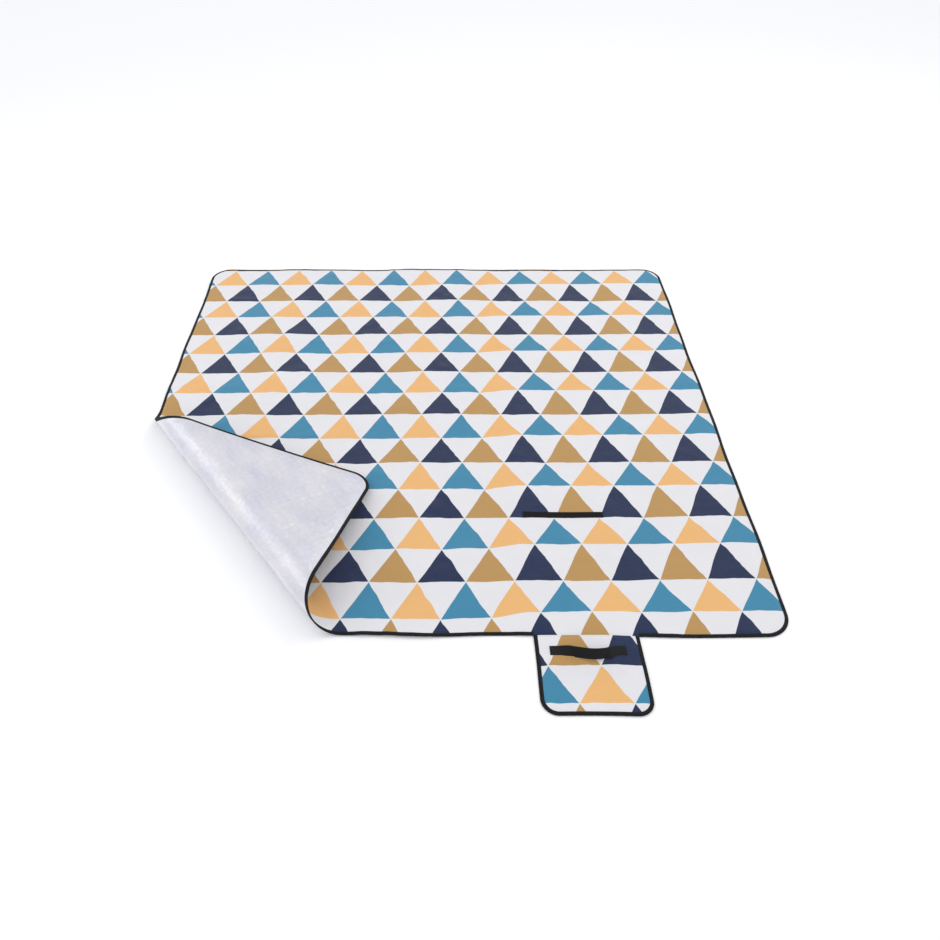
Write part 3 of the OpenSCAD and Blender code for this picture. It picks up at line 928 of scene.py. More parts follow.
@dataclass
class Blanket:
    """The mat itself: three layers, the tape round its edge and the thread that holds the tape."""

    finishes: Finishes
    outline: Outline = Outline()
    roll: Roll = Roll()
    waves: Waves = Waves()
    flap: FlapSizes = FlapSizes()
    build: Build = Build()
    joins: tuple[float, float] = (0.4, 0.8)
    creases: tuple[float, float] = (0.2, 0.6)
    crease_half: tuple[float, float] = (11 * MM, 8 * MM)
    hidden: float = 1 * MM
    stitch: float = 4 * MM
    drawn_tight: float = 0.75
    foil_puckers: tuple[float, float] = (0.5 * MM, 0.9 * MM)
    foil_drag: float = 0.6 * MM
    drag_count: float = 46.0
    drag_from: float = 0.10
    drag_at: tuple[float, float] = (0.22, 0.12)

    # Where the cloth is

    def lift(self, x: Array, y: Array) -> Array:
        """The waves, which die away round the roll, where the cloth is drawn tight."""
        s = self.roll.past(x, y)
        return self.waves.lift(x, y) * (1.0 - self.drawn_tight * smooth((s + 0.05) / 0.10))

    def place(self, x: Array, y: Array, height: Array) -> Array:
        """A point of the flat cloth, where the waves and the roll take it."""
        shift = np.stack([*self.waves.drawn(x, y), np.zeros(np.broadcast(x, y).shape)], axis=-1)
        flat = smooth(-(self.roll.past(x, y) + 0.02) / 0.15)[..., None]
        return self.roll.place(x, y, height + self.lift(x, y)) + shift * flat

    def sewn(self, place: tuple[Array, Array, Array, Array], inward: Array, share: Array,
             offset: Array) -> Array:
        """A point of a sewn edge.

        Args:
            place: x, y and outward normal of the edge.
            inward: distance in from the edge.
            share: share of the way from the backing's face up to the cover's.
            offset: height above that.

        Returns:
            Points, with the three coordinates last.
        """
        x, y, nx, ny = place
        x, y = x - nx * inward, y - ny * inward
        inside = np.maximum(inward, 0.0)
        low, top = self.build.backing(inside), self.build.cover(inside)
        return self.place(x, y, low + share * (top - low) + offset)

    def edge(self, x: Array, y: Array) -> Array:
        """Distance in from the taped edge. The stretch where the flap is sewn on has none."""
        inside = self.outline.inside(x, y)
        slot = np.minimum(x - self.flap.left, self.flap.right - x)
        others = np.minimum(self.outline.half_w - np.abs(x), self.outline.half_d - y)
        return np.where(slot > 0.0, np.minimum(others, np.hypot(slot, y + 1.0) + 4 * MM), inside)

    def height(self, layer: Layer, x: Array, y: Array) -> Array:
        """Height of a layer in the flat blanket, with a shallow valley at the flap's seam."""
        inside = self.edge(x, y)
        if layer is Layer.BACKING:
            return self.build.backing(inside)
        if layer is Layer.WADDING:
            return self.build.wadding(inside)
        return self.build.cover(inside) - self.flap.valley(x, y)

    def crinkle(self, layer: Layer, x: Array, y: Array) -> Array:
        """Fine relief of the foil where it is turned up, which stands out from its face.

        Soft puckers, and drag lines that fan out from a point past the left end of the roll:
        sin(count * angle), strongest at drag_at past the line.
        """
        if layer is not Layer.BACKING:
            return np.zeros_like(x)
        s = self.roll.past(x, y)
        turned = smooth((s - 0.03) / 0.05) * smooth((self.edge(x, y) - 12 * MM) / (25 * MM))
        small = self.waves.summed(self.small, x, y)
        broad = self.waves.summed(self.puckers, x, y)
        t = (x - self.roll.start[0]) * self.roll.along[0] + (y - self.roll.start[1]) * self.roll.along[1]
        fan = np.arctan2(s, t + self.drag_from)
        place, width = self.drag_at
        drag = np.sin(self.drag_count * fan + 2.2 * broad) * np.exp(-((s - place) / width) ** 2)
        fine, wide = self.foil_puckers
        return turned * (fine * (1.0 + small) + wide * (1.0 + broad) + self.foil_drag * (1.0 + drag))

    @cached_property
    def small(self) -> Array:
        """Waves of the foil's small puckers."""
        return self.waves.swells(22, 0.018, 0.05, 31)

    @cached_property
    def puckers(self) -> Array:
        """Waves of the foil's broad puckers."""
        return self.waves.swells(7, 0.10, 0.28, 32)

    def surface(self, layer: Layer) -> Callable[[Array, Array], Array]:
        """The layer's surface as a function of the flat cloth's x and y."""
        def at(x: Array, y: Array) -> Array:
            """Places the layer's height, less its crinkles, which stand off the foil's face."""
            return self.place(x, y, self.height(layer, x, y) - self.crinkle(layer, x, y))
        return at

    def normals(self, at: Callable[[Array, Array], Array], x: Array, y: Array) -> Array:
        """Unit normals by central differences: the cross product of the two slopes."""
        step = 1.0 * MM
        dx = at(x + step, y) - at(x - step, y)
        dy = at(x, y + step) - at(x, y - step)
        n = np.cross(dx, dy)
        return n / np.maximum(np.linalg.norm(n, axis=-1, keepdims=True), 1e-12)

    # Grids of each region

    def rows(self, step: float) -> Array:
        """The y of each row of the flat regions, closer together near the front and back edges."""
        end = self.outline.half_d - self.hidden
        fine = {-end: 26 * MM, end: 26 * MM, end - self.outline.radius: 20 * MM}
        return lines_with(-end, end, step, fine, min(step, 3 * MM))

    def region_xy(self, region: Region, step: float) -> tuple[Array, Array]:
        """Flat cloth x and y of a region's grid.

        Flat regions are rows of constant y. The mat's left part runs from the edge or the roll's
        line to the first old fold in even steps. A roll strip is lines of constant distance past
        the line, and the corner is ruled between the end of the roll and the outline.

        Args:
            region: the region.
            step: spacing of the grid.

        Returns:
            Two arrays, rows by columns.
        """
        near = min(step, 2.5 * MM)
        if region in ROLLS:
            return self.roll_xy(ROLLS.index(region), step)
        if region is Region.CORNER:
            return self.corner_xy(step)
        y = self.rows(step)[:, None]
        if region is Region.OUTER:
            start, stop = self.joins[1], self.outline.half_width_at(y, self.hidden)
            share = lines_with(0.0, 1.0, step / 0.2, {1.0: 0.12}, near / 0.2)
            return start + (stop - start) * share, y + 0.0 * share
        if region is Region.INNER:
            x = lines_with(*self.joins, step, {self.creases[1]: 17 * MM}, min(step, 1.5 * MM))
            return x + 0.0 * y, y + 0.0 * x
        left = np.maximum(-self.outline.half_width_at(y, self.hidden), self.roll.x_on_line(y))
        middle, wide = -0.2, 0.8
        share = lines_with(0.0, 1.0, step / wide, {0.0: 0.03}, near / wide)[:-1]
        fixed = lines_with(middle, self.joins[0], step, {self.creases[0]: 24 * MM}, min(step, 1.5 * MM))
        x = np.concatenate([left + (middle - left) * share, fixed + 0.0 * y], axis=1)
        return x, y + 0.0 * x

    def shares(self, step: float) -> Array:
        """Shares of the way down the roll at which its grid has lines."""
        length = float(np.hypot(self.roll.left, self.roll.front))
        return lines_with(0.0, 1.0, step / length, {0.0: 0.02, 1.0: 0.02}, 2.5 * MM / length)

    def roll_xy(self, number: int, step: float) -> tuple[Array, Array]:
        """Flat cloth x and y of one roll strip's grid."""
        s = np.linspace(self.roll.arcs[number], self.roll.arcs[number + 1], 13)[:, None]
        left, front = self.roll.ends(s, self.hidden)
        return self.roll.cloth(s, left + (front - left) * self.shares(step))

    def corner_xy(self, step: float) -> tuple[Array, Array]:
        """Flat cloth x and y of the turned corner's grid, ruled from the roll to the outline."""
        share = self.shares(step)
        s = self.roll.arcs[-1]
        left, front = self.roll.ends(s, self.hidden)
        ax, ay = self.roll.cloth(s, left + (front - left) * share)
        path = EdgePath(self)
        t = np.interp(share, [0.0, 1.0], [path.left_at(s), path.front_at(s)])
        bx, by, nx, ny = path.at(t)
        bx, by = bx - nx * self.hidden, by - ny * self.hidden
        deep = lines_with(0.0, 1.0, step / 0.4, {1.0: 0.06}, 2.5 * MM / 0.4)[:, None]
        return ax + (bx - ax) * deep, ay + (by - ay) * deep

    # Pieces

    def step_for(self, region: Region, layer: Layer) -> float:
        """Grid spacing: fine where the layer is seen, coarse where it is hidden."""
        if layer is Layer.WADDING:
            return 22 * MM
        turned = region in ROLLS or region is Region.CORNER
        if layer is Layer.BACKING:
            return 3.5 * MM if turned else 14 * MM
        return 8 * MM if turned else 7 * MM

    def follow(self, piece: bpy.types.Object, region: Region, lag: float = 1.0) -> None:
        """Makes a piece ride on its body; a piece between two bodies only has its transform applied.

        Args:
            piece: the piece.
            region: the part of the cloth it belongs to.
            lag: how far the bend at an old fold would lie to the left, as a share of half the bend.
            No bend is made, so it changes nothing.
        """
        if not region.bends_to:
            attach(piece, region.body)
            return
        if region in ROLLS:
            k = ROLLS.index(region)
            middle = self.roll.arcs[k:k + 2]
            x, y = self.roll.cloth(middle, np.full(2, 0.5 * math.hypot(self.roll.left, self.roll.front)))
            start, end = self.roll.place(x, y, np.full(2, self.roll.thickness / 2.0))
        else:
            k = 0 if region is Region.MAT else 1
            middle = self.creases[k] - lag * self.crease_half[k]
            start = np.array([middle - self.crease_half[k], 0.0, 0.0])
            end = np.array([middle + self.crease_half[k], 0.0, 0.0])
        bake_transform(piece)

    def nodes(self, region: Region, part: str) -> tuple[str, ...]:
        """The CAD nodes that the region's piece stands for."""
        name = f"{region.prefix}_{part}"
        return (name,) if name in frame["nodes"] else ()

    def make_layer(self, region: Region, layer: Layer) -> bpy.types.Object:
        """Makes one layer of one region.

        Args:
            region: the region.
            layer: the layer.

        Returns:
            The finished piece.
        """
        x, y = self.region_xy(region, self.step_for(region, layer))
        at = self.surface(layer)
        down = layer is Layer.BACKING
        normals = self.normals(at, x, y) * (-1.0 if down else 1.0)
        patch = Patch.grid(at(x, y), np.stack([x, y], axis=-1), normals=normals)
        c = patch.cloth[patch.faces]
        turn = np.cross(c[:, 1] - c[:, 0], c[:, 3] - c[:, 0]).sum()
        if (turn < 0.0) != down:
            patch.faces = patch.faces[:, ::-1]
        material, slot = self.finishes.layer(layer)
        piece = patch.build(f"{region.prefix}_{layer.value}_cloth", material)
        if layer is Layer.WADDING:
            wall = piece.modifiers.new("Loft", "SOLIDIFY")
            wall.thickness = 1.6 * MM
            wall.offset = 0.0
            bpy.context.view_layer.objects.active = piece
            piece.select_set(True)
            bpy.ops.object.modifier_apply(modifier=wall.name)
            piece.select_set(False)
        area = patch.area()
        self.follow(piece, region, {Layer.COVER: 0.0, Layer.WADDING: 0.5, Layer.BACKING: 1.0}[layer])
        return record(piece, self.nodes(region, layer.value))

    def make_tape(self, region: Region, path: "EdgePath") -> bpy.types.Object:
        """Makes the region's edge tape: the tape's profile carried along the outline."""
        bands = [path.band(start, stop, 6 * MM) for start, stop in path.runs(region)]
        piece = Patch.joined(bands).build(f"{region.prefix}_edge_tape", self.finishes.tape)
        self.follow(piece, region)
        return record(piece, self.nodes(region, "binding"))

    def make_stitches(self, region: Region, path: "EdgePath") -> bpy.types.Object:
        """Makes the region's row of stitches."""
        rows = [path.stitches(start, stop, self.stitch) for start, stop in path.runs(region)]
        piece = Patch.joined(rows).build(f"{region.prefix}_stitches", self.finishes.thread)
        self.follow(piece, region)
        return record(piece, self.nodes(region, "stitching"))

    def make(self) -> None:
        """Makes every layer, tape and row of stitches."""
        path = EdgePath(self)
        for region in Region:
            for layer in Layer:
                self.make_layer(region, layer)
            self.make_tape(region, path)
            self.make_stitches(region, path)


def tape_profile(build: Build) -> tuple[Array, Array, Array]:
    """The tape's section: distance in from the edge, share of the way up the edge, and offset.

    It runs from the inner edge on top, over the rolled edge, to the inner edge underneath. The
    height is low + share * (top - low) + offset, where low and top are the layers' faces.

    Args:
        build: sizes of the sewn edge.

    Returns:
        Three arrays of one value for each point of the section.
    """
    w, t = build.tape, build.tape_thick
    inward = np.array([w, w + 0.1 * MM, w - 0.5 * MM, 0.75 * w, 0.5 * w, 0.25 * w, 0.1 * w, 0.0,
                       -0.4 * MM, 0.0, 0.1 * w, 0.25 * w, 0.5 * w, 0.8 * w, w - 0.3 * MM, w])
    share = np.array([1.0, 1.0, 1.0, 1.0, 1.0, 1.0, 0.98, 0.82, 0.5, 0.18, 0.0, 0.0, 0.0, 0.0, 0.0, 0.0])
    offset = np.array([-0.6 * MM, 0.1 * MM, t, 1.15 * t, 1.1 * t, 0.9 * t, 0.5 * t, 0.1 * t, 0.0,
                       -0.1 * t, -0.55 * t, -0.85 * t, -0.9 * t, -0.9 * t, -0.5 * t, 0.6 * MM])
    return inward, share, offset


def tape_patch(points: Array, t: Array, inward: Array, offset: Array) -> Patch:
    """The tape as a patch, whose cloth runs along the path and round the tape's section."""
    width = np.concatenate([[0.0], np.cumsum(np.hypot(np.diff(inward[0]), np.diff(offset[0])))])
    return Patch.grid(points, np.stack([t + 0.0 * inward, width + 0.0 * t], axis=-1))


def walk(legs: Array, starts: Array, radius: float, t: Array) -> tuple[Array, Array, Array, Array]:
    """Places along a path of straight legs and quarter arcs.

    Args:
        legs: start x, start y, heading and turn of each leg, turn being 1 for an arc and 0 if not.
        starts: distance along the path at which each leg starts, and the whole length.
        radius: radius of the arcs.
        t: distances along the path.

    Returns:
        x, y and the outward normal's x and y at each distance.
    """
    t = np.clip(np.asarray(t, float), 0.0, starts[-1] - 1e-9)
    leg = np.searchsorted(starts, t, side="right") - 1
    x0, y0, heading, turn = np.moveaxis(legs[leg], -1, 0)
    d = t - starts[leg]
    a = heading + turn * d / radius
    x = x0 + np.where(turn > 0, radius * (np.sin(a) - np.sin(heading)), d * np.cos(heading))
    y = y0 + np.where(turn > 0, radius * (np.cos(heading) - np.cos(a)), d * np.sin(heading))
    return x, y, np.sin(a), -np.cos(a)


def on_tape(point: Callable[..., Array], build: Build) -> Callable[[Array, Array, Array], Array]:
    """Where a row of stitches lies on a tape, whose edge points the given function places."""
    def at(t: Array, across: Array, up: Array) -> Array:
        """Lays the row on top of the tape."""
        return point(t, build.tape * build.sewn_in + across, np.ones_like(t),
                     build.tape_thick * build.sewn_up + up)
    return at


def stitch_patch(at: Callable[[Array, Array, Array], Array], along: Array, length: float, width: float,
                 rise: float, tilt: float = 0.12) -> Patch:
    """A row of stitches, each half of a stretched ball lying on the cloth.

    The stitch's outline is a superellipse: its height falls as (1 - a^4)^(1/2) along it and as the
    cosine across it. Each is turned by tilt, as a lockstitch is.

    Args:
        at: gives the place of points from the distance along the row, across it and above it.
        along: distance of each stitch's middle along the row.
        length: length of a stitch.
        width: width of the thread.
        rise: height of the thread's top.
        tilt: slant of the stitch, as a share of its length.

    Returns:
        The patch of the whole row.
    """
    rows, cols = 6, 5
    a = np.linspace(-1.0, 1.0, rows)[:, None]
    b = np.linspace(-math.pi / 2.0, math.pi / 2.0, cols)[None, :]
    swell = np.sqrt(np.maximum(1.0 - a ** 4, 0.0))
    across = width / 2.0 * np.sin(b) * (0.35 + 0.65 * swell) + tilt * width * a
    up = rise * np.cos(b) * swell - 0.15 * MM
    run = along[:, None, None] + length / 2.0 * a + 0.0 * b
    points = at(run, across + 0.0 * run, up + 0.0 * run)
    cell = np.arange(rows * cols).reshape(rows, cols)
    quads = np.stack([cell[:-1, :-1], cell[1:, :-1], cell[1:, 1:], cell[:-1, 1:]], axis=-1)
    faces = (np.arange(len(along))[:, None, None] * rows * cols + quads.reshape(-1, 4)).reshape(-1, 4)
    cloth = np.stack([run, across + 0.0 * run], axis=-1)
    patch = Patch(points.reshape(-1, 3), faces, cloth.reshape(-1, 2))
    first = patch.points[patch.faces[10]]
    up_way = at(along[:1], np.zeros(1), np.full(1, MM))[0] - at(along[:1], np.zeros(1), np.zeros(1))[0]
    if np.dot(np.cross(first[1] - first[0], first[3] - first[0]), up_way) < 0.0:
        patch.faces = patch.faces[:, ::-1]
    return patch


@dataclass
class EdgePath:
    """The taped edge as one path, from the flap's right corner round to its left corner."""

    blanket: Blanket

    @cached_property
    def legs(self) -> list[tuple[float, float, float, float, float]]:
        """Straight legs and quarter arcs: start x, y, heading, length and turn of each."""
        o, f = self.blanket.outline, self.blanket.flap
        w, d, r = o.half_w, o.half_d, o.radius
        quarter = math.pi * r / 2.0
        straight_x, straight_y = 2.0 * (w - r), 2.0 * (d - r)
        east, north, west, south = 0.0, math.pi / 2.0, math.pi, 1.5 * math.pi
        return [(f.right, -d, east, w - r - f.right, 0.0), (w - r, -d, east, quarter, 1.0),
                (w, -d + r, north, straight_y, 0.0), (w, d - r, north, quarter, 1.0),
                (w - r, d, west, straight_x, 0.0), (-w + r, d, west, quarter, 1.0),
                (-w, d - r, south, straight_y, 0.0), (-w, -d + r, south, quarter, 1.0),
                (-w + r, -d, east, f.left + w - r, 0.0)]

    @cached_property
    def starts(self) -> Array:
        """Distance along the path at which each leg starts, and the whole length."""
        return np.concatenate([[0.0], np.cumsum([leg[3] for leg in self.legs])])

    def at(self, t: Array) -> tuple[Array, Array, Array, Array]:
        """The path's x and y and its outward normal at each distance along it."""
        legs = np.array(self.legs)[:, [0, 1, 2, 4]]
        return walk(legs, self.starts, self.blanket.outline.radius, t)

    def left_at(self, s: float) -> float:
        """Distance along the path where the left edge is s past the roll's line."""
        t, _ = self.blanket.roll.ends(s, 0.0)
        _, y = self.blanket.roll.cloth(s, t)
        return float(self.starts[6] + self.blanket.outline.half_d - self.blanket.outline.radius - y)

    def front_at(self, s: float) -> float:
        """Distance along the path where the front edge is s past the roll's line."""
        _, t = self.blanket.roll.ends(s, 0.0)
        x, _ = self.blanket.roll.cloth(s, t)
        return float(self.starts[8] + x + self.blanket.outline.half_w - self.blanket.outline.radius)

    def runs(self, region: Region) -> list[tuple[float, float]]:
        """The stretches of the path that belong to a region."""
        first, second = self.blanket.joins
        o, arcs = self.blanket.outline, self.blanket.roll.arcs
        front = second - self.blanket.flap.right
        back = [self.starts[4] + o.half_w - o.radius - x for x in (second, first)]
        if region is Region.OUTER:
            return [(front, back[0])]
        if region is Region.INNER:
            return [(0.0, front), (back[0], back[1])]
        if region is Region.MAT:
            return [(back[1], self.left_at(0.0)), (self.front_at(0.0), self.starts[-1])]
        if region is Region.CORNER:
            return [(self.left_at(arcs[-1]), self.front_at(arcs[-1]))]
        k = ROLLS.index(region)
        return [(self.left_at(arcs[k]), self.left_at(arcs[k + 1])),
                (self.front_at(arcs[k + 1]), self.front_at(arcs[k]))]

    def point(self, t: Array, inward: Array, share: Array, offset: Array) -> Array:
        """A point of the sewn edge, t along the path; the rest as in Blanket.sewn."""
        return self.blanket.sewn(self.at(t), inward, share, offset)

    def band(self, start: float, stop: float, step: float) -> Patch:
        """The tape along one stretch, with its width drawn in and out a little as it was sewn."""
        t = spaced(start, stop, step)[:, None]
        inward, share, offset = (a[None, :] for a in tape_profile(self.blanket.build))
        sewn = 1.0 + 0.05 * np.sin(t / 0.041) * np.sin(t / 0.173 + 1.0)
        pucker = 0.12 * MM * np.sin(t / 0.0011 + 2.0 * np.sin(t / 0.05))
        points = self.point(t + 0.0 * inward, np.where(inward > 0, inward * sewn, inward),
                            share + 0.0 * t, offset + pucker * (offset > 0))
        return tape_patch(points, t, inward, offset)

    def stitches(self, start: float, stop: float, pitch: float) -> Patch:
        """The row of stitches along one stretch, near the tape's inner edge."""
        b = self.blanket.build
        count = max(1, int((stop - start) / pitch))
        middles = start + (np.arange(count) + 0.5) * (stop - start) / count
        return stitch_patch(on_tape(self.point, b), middles, b.stitch_long * pitch, b.thread,
                            b.thread_rise)


@dataclass
class Flap:
    """The wrap-round flap: its own three layers, its tape, its threads and the hook strip."""

    blanket: Blanket
    hook_length: float = 0.254
    hook_width: float = 0.025
    hook_from_edge: float = 0.040
    hook_sunk: float = 1.1 * MM
    hook_low: float = 0.05 * MM
    hook_top: float = 1.45 * MM
    bend: float = 13 * MM
    print_u: float = 0.49
    print_v: float = 0.265

    @property
    def sizes(self) -> FlapSizes:
        """The flap's sizes."""
        return self.blanket.flap

    def height(self, layer: Layer, x: Array, y: Array) -> Array:
        """Height of a layer, with the shallow valley at the seam.

        The backing is pressed up by hook_sunk where the hook strip is sewn under it.
        """
        inside = self.sizes.inside(x, y)
        b = self.blanket.build
        if layer is Layer.BACKING:
            off_x = np.abs(x - self.sizes.middle) - self.hook_length / 2.0
            off_y = np.abs(y - self.sizes.low - self.hook_from_edge) - self.hook_width / 2.0
            pressed = 1.0 - smooth((np.maximum(off_x, off_y) - 0.2 * MM) / (4 * MM))
            return b.backing(inside) + self.hook_sunk * pressed
        if layer is Layer.WADDING:
            return b.wadding(inside)
        return b.cover(inside) - self.sizes.valley(x, y)

    def surface(self, layer: Layer) -> Callable[[Array, Array], Array]:
        """The layer's surface as a function of x and y."""
        def at(x: Array, y: Array) -> Array:
            """Places the layer's height on the blanket's waves."""
            return self.blanket.place(x, y, self.height(layer, x, y))
        return at

    def grid(self, step: float) -> tuple[Array, Array]:
        """x and y of the flap's grid: rows of constant y, as wide as the round corners leave."""
        z = self.sizes
        hidden = self.blanket.hidden
        y = lines_with(z.low + hidden, z.seam, step,
                       {z.low + hidden: 40 * MM, z.seam: 14 * MM}, min(step, 2 * MM))[:, None]
        r = z.radius - hidden
        q = np.clip((z.low + z.radius - y) / r, 0.0, 1.0)
        half = z.width / 2.0 - z.radius + r * np.sqrt(1.0 - q * q)
        share = lines_with(-1.0, 1.0, 2.0 * step / z.width, {-1.0: 0.16, 1.0: 0.16},
                           min(step, 2 * MM) * 2.0 / z.width)
        return z.middle + half * share, y + 0.0 * share

    def make_layer(self, layer: Layer) -> bpy.types.Object:
        """Makes one layer of the flap, whose print starts afresh at the seam."""
        x, y = self.grid(18 * MM if layer is Layer.WADDING else 4 * MM)
        at = self.surface(layer)
        down = layer is Layer.BACKING
        normals = self.blanket.normals(at, x, y) * (-1.0 if down else 1.0)
        p = PrintedFleece()
        cloth = np.stack([x + self.print_u * p.across, y + self.print_v * p.row], axis=-1)
        patch = Patch.grid(at(x, y), cloth, flip=down, normals=normals)
        material, slot = self.blanket.finishes.layer(layer)
        piece = patch.build(f"flap_{layer.value}_cloth", material)
        patch.area()
        return self.sew(piece, (f"flap_{layer.value}",))

    def sew(self, piece: bpy.types.Object, nodes: tuple[str, ...]) -> bpy.types.Object:
        """Applies a piece's transform and hides the CAD nodes it stands for."""
        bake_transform(piece)
        return record(piece, nodes)

    def path(self, t: Array) -> tuple[Array, Array, Array, Array]:
        """x, y and outward normal down the left side, along the free edge and up the right side."""
        z = self.sizes
        side = z.length - z.radius
        quarter = math.pi * z.radius / 2.0
        lengths = [side, quarter, z.width - 2.0 * z.radius, quarter, side]
        starts = np.concatenate([[0.0], np.cumsum(lengths)])
        legs = np.array([(z.left, -1.0, 1.5 * math.pi, 0.0),
                         (z.left, z.low + z.radius, 1.5 * math.pi, 1.0),
                         (z.left + z.radius, z.low, 2.0 * math.pi, 0.0),
                         (z.right - z.radius, z.low, 2.0 * math.pi, 1.0),
                         (z.right, z.low + z.radius, 2.5 * math.pi, 0.0)])
        return walk(legs, starts, z.radius, t)

    @property
    def edge_length(self) -> float:
        """Length of the three free edges with their two round corners."""
        z = self.sizes
        return 2.0 * (z.length - z.radius) + math.pi * z.radius + z.width - 2.0 * z.radius

    def point(self, t: Array, inward: Array, share: Array, offset: Array) -> Array:
        """A point of the flap's sewn edge, as EdgePath.point gives for the mat's."""
        return self.blanket.sewn(self.path(t), inward, share, offset)

    def make_tape(self) -> bpy.types.Object:
        """Makes the tape on the three free edges, with its two ends lapped over the mat's tape."""
        t = spaced(0.0, self.edge_length, 4 * MM)[:, None]
        inward, share, offset = (a[None, :] for a in tape_profile(self.blanket.build))
        near = 12 * MM
        lap = 0.5 * MM * (smooth(1.0 - t / near) + smooth(1.0 - (self.edge_length - t) / near))
        points = self.point(t + 0.0 * inward, inward + 0.0 * t, share + 0.0 * t,
                            offset + lap * (offset > 0))
        patch = tape_patch(points, t, inward, offset)
        return self.sew(patch.build("flap_edge_tape", self.blanket.finishes.tape),
                        ("flap_binding",))

    def make_stitches(self) -> bpy.types.Object:
        """Makes the stitches in the tape and the row beside the seam."""
        b = self.blanket.build
        pitch = self.blanket.stitch

        def beside_seam(t: Array, across: Array, up: Array) -> Array:
            """Lays the row on the fleece, just below the seam."""
            x, y = self.sizes.left + t, self.sizes.seam - 4 * MM - across
            return self.blanket.place(x, y, self.height(Layer.COVER, x, y) + up)
        edge = np.arange(pitch, self.edge_length - pitch, pitch)
        seam = np.arange(b.tape * 1.3, self.sizes.width - b.tape * 1.3, pitch)
        long = b.stitch_long * pitch
        rows = [stitch_patch(on_tape(self.point, b), edge, long, b.thread, b.thread_rise),
                stitch_patch(beside_seam, seam, long, 0.7 * MM, 0.35 * MM)]
        piece = Patch.joined(rows).build("flap_stitches", self.blanket.finishes.thread)
        return self.sew(piece, ("flap_stitching",))

    def make_hook_strip(self) -> bpy.types.Object:
        """Makes the hook strip under the flap, near its free edge."""
        z = self.sizes
        y0 = z.low + self.hook_from_edge
        patch = strip_patch(self.blanket.place, z.middle, y0, self.hook_length, self.hook_width,
                            self.hook_low, self.hook_top, facing=-1.0)
        piece = patch.build("flap_hook_strip", self.blanket.finishes.hooks)
        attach(piece, "flap")
        return record(piece, ("hook_strip",))

    def make(self) -> None:
        """Makes every piece of the flap."""
        for layer in Layer:
            self.make_layer(layer)
        self.make_tape()
        self.make_stitches()
        self.make_hook_strip()


def strip_patch(place: Callable[[Array, Array, Array], Array], x0: float, y0: float, length: float,
                width: float, low: float, top: float, facing: float = 1.0) -> Patch:
    """A flat strip with a rounded rim, lying on the cloth.

    Its section is a superellipse, |a|^6 + |b|^6 = 1 across and |b| up, carried from end to end,
    with the ends drawn to a closed rim.

    Args:
        place: puts flat x, y and height where the cloth takes them.
        x0: middle of the strip.
        y0: middle of the strip.
        length: its length along x.
        width: its width along y.
        low: height of its lower face.
        top: height of its upper face.
        facing: 1 where the pile is on top, -1 where it is underneath.

    Returns:
        The closed patch.
    """
    a = np.concatenate([[-1.0, -0.9995, -0.997], np.linspace(-0.99, 0.99, 64), [0.997, 0.9995, 1.0]])
    ring = np.linspace(0.0, 2.0 * math.pi, 41)[:-1]
    power = 1.0 / 3.0
    across = np.sign(np.cos(ring)) * np.abs(np.cos(ring)) ** power
    up = np.sign(np.sin(ring)) * np.abs(np.sin(ring)) ** (2.0 * power)
    close = np.array([0.0, 0.6, 0.92] + [1.0] * 64 + [0.92, 0.6, 0.0])[:, None]
    x = x0 + length / 2.0 * a[:, None] + 0.0 * ring
    wide = 1.0 - 0.03 * (1.0 - close)
    y = y0 + width / 2.0 * across * wide
    middle, half = (low + top) / 2.0, (top - low) / 2.0
    height = middle + half * up * close
    points = place(x, y, height)
    cloth = np.stack([x, y + (height - low) * facing], axis=-1)
    patch = Patch.grid(points, cloth, closed=True)
    inner = patch.points[patch.faces]
    centre = points.mean(axis=(0, 1))
    n = np.cross(inner[:, 1] - inner[:, 0], inner[:, 3] - inner[:, 0])
    if ((inner.mean(axis=1) - centre) * n).sum() < 0.0:
        patch.faces = patch.faces[:, ::-1]
    return patch


@dataclass
class LoopStrip:
    """The loop strip sewn across the printed side."""

    blanket: Blanket
    x: float = 0.405
    y: float = -0.540
    length: float = 0.254
    width: float = 0.025
    thick: float = 1.5 * MM

    def make(self) -> None:
        """Makes the strip and reports it."""
        field_z = self.blanket.build.field
        patch = strip_patch(self.blanket.place, self.x, self.y, self.length, self.width,
                            field_z - 0.3 * MM, field_z + self.thick)
        piece = patch.build("loop_strip_pile", self.blanket.finishes.loops)
        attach(piece, "panel_inner")
        record(piece, ("loop_strip",))

        def around(t: Array, across: Array, up: Array) -> Array:
            """Lays a row of stitches round the strip, 2 mm in from its edge."""
            inset = 2.0 * MM + across
            a, b = self.length / 2.0, self.width / 2.0
            lap = np.mod(t, 4.0 * (a + b) - 16 * MM)
            corner = np.array([0.0, 2 * a, 2 * a + 2 * b, 4 * a + 2 * b, 4 * (a + b)])
            corner = corner - 4 * MM * np.arange(5)
            x = np.interp(lap, corner, [-1.0, 1.0, 1.0, -1.0, -1.0]) * (a - inset)
            y = np.interp(lap, corner, [-1.0, -1.0, 1.0, 1.0, -1.0]) * (b - inset)
            return self.blanket.place(self.x + x, self.y + y, field_z + self.thick + up)
        rim = 4.0 * (self.length / 2.0 + self.width / 2.0) - 16 * MM
        row = stitch_patch(around, np.arange(1.5 * MM, rim - 1.5 * MM, 3.0 * MM), 2.4 * MM, 0.6 * MM,
                           0.4 * MM)
        stitches = row.build("loop_strip_stitches", self.blanket.finishes.thread)
        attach(stitches, "panel_inner")
        record(stitches)


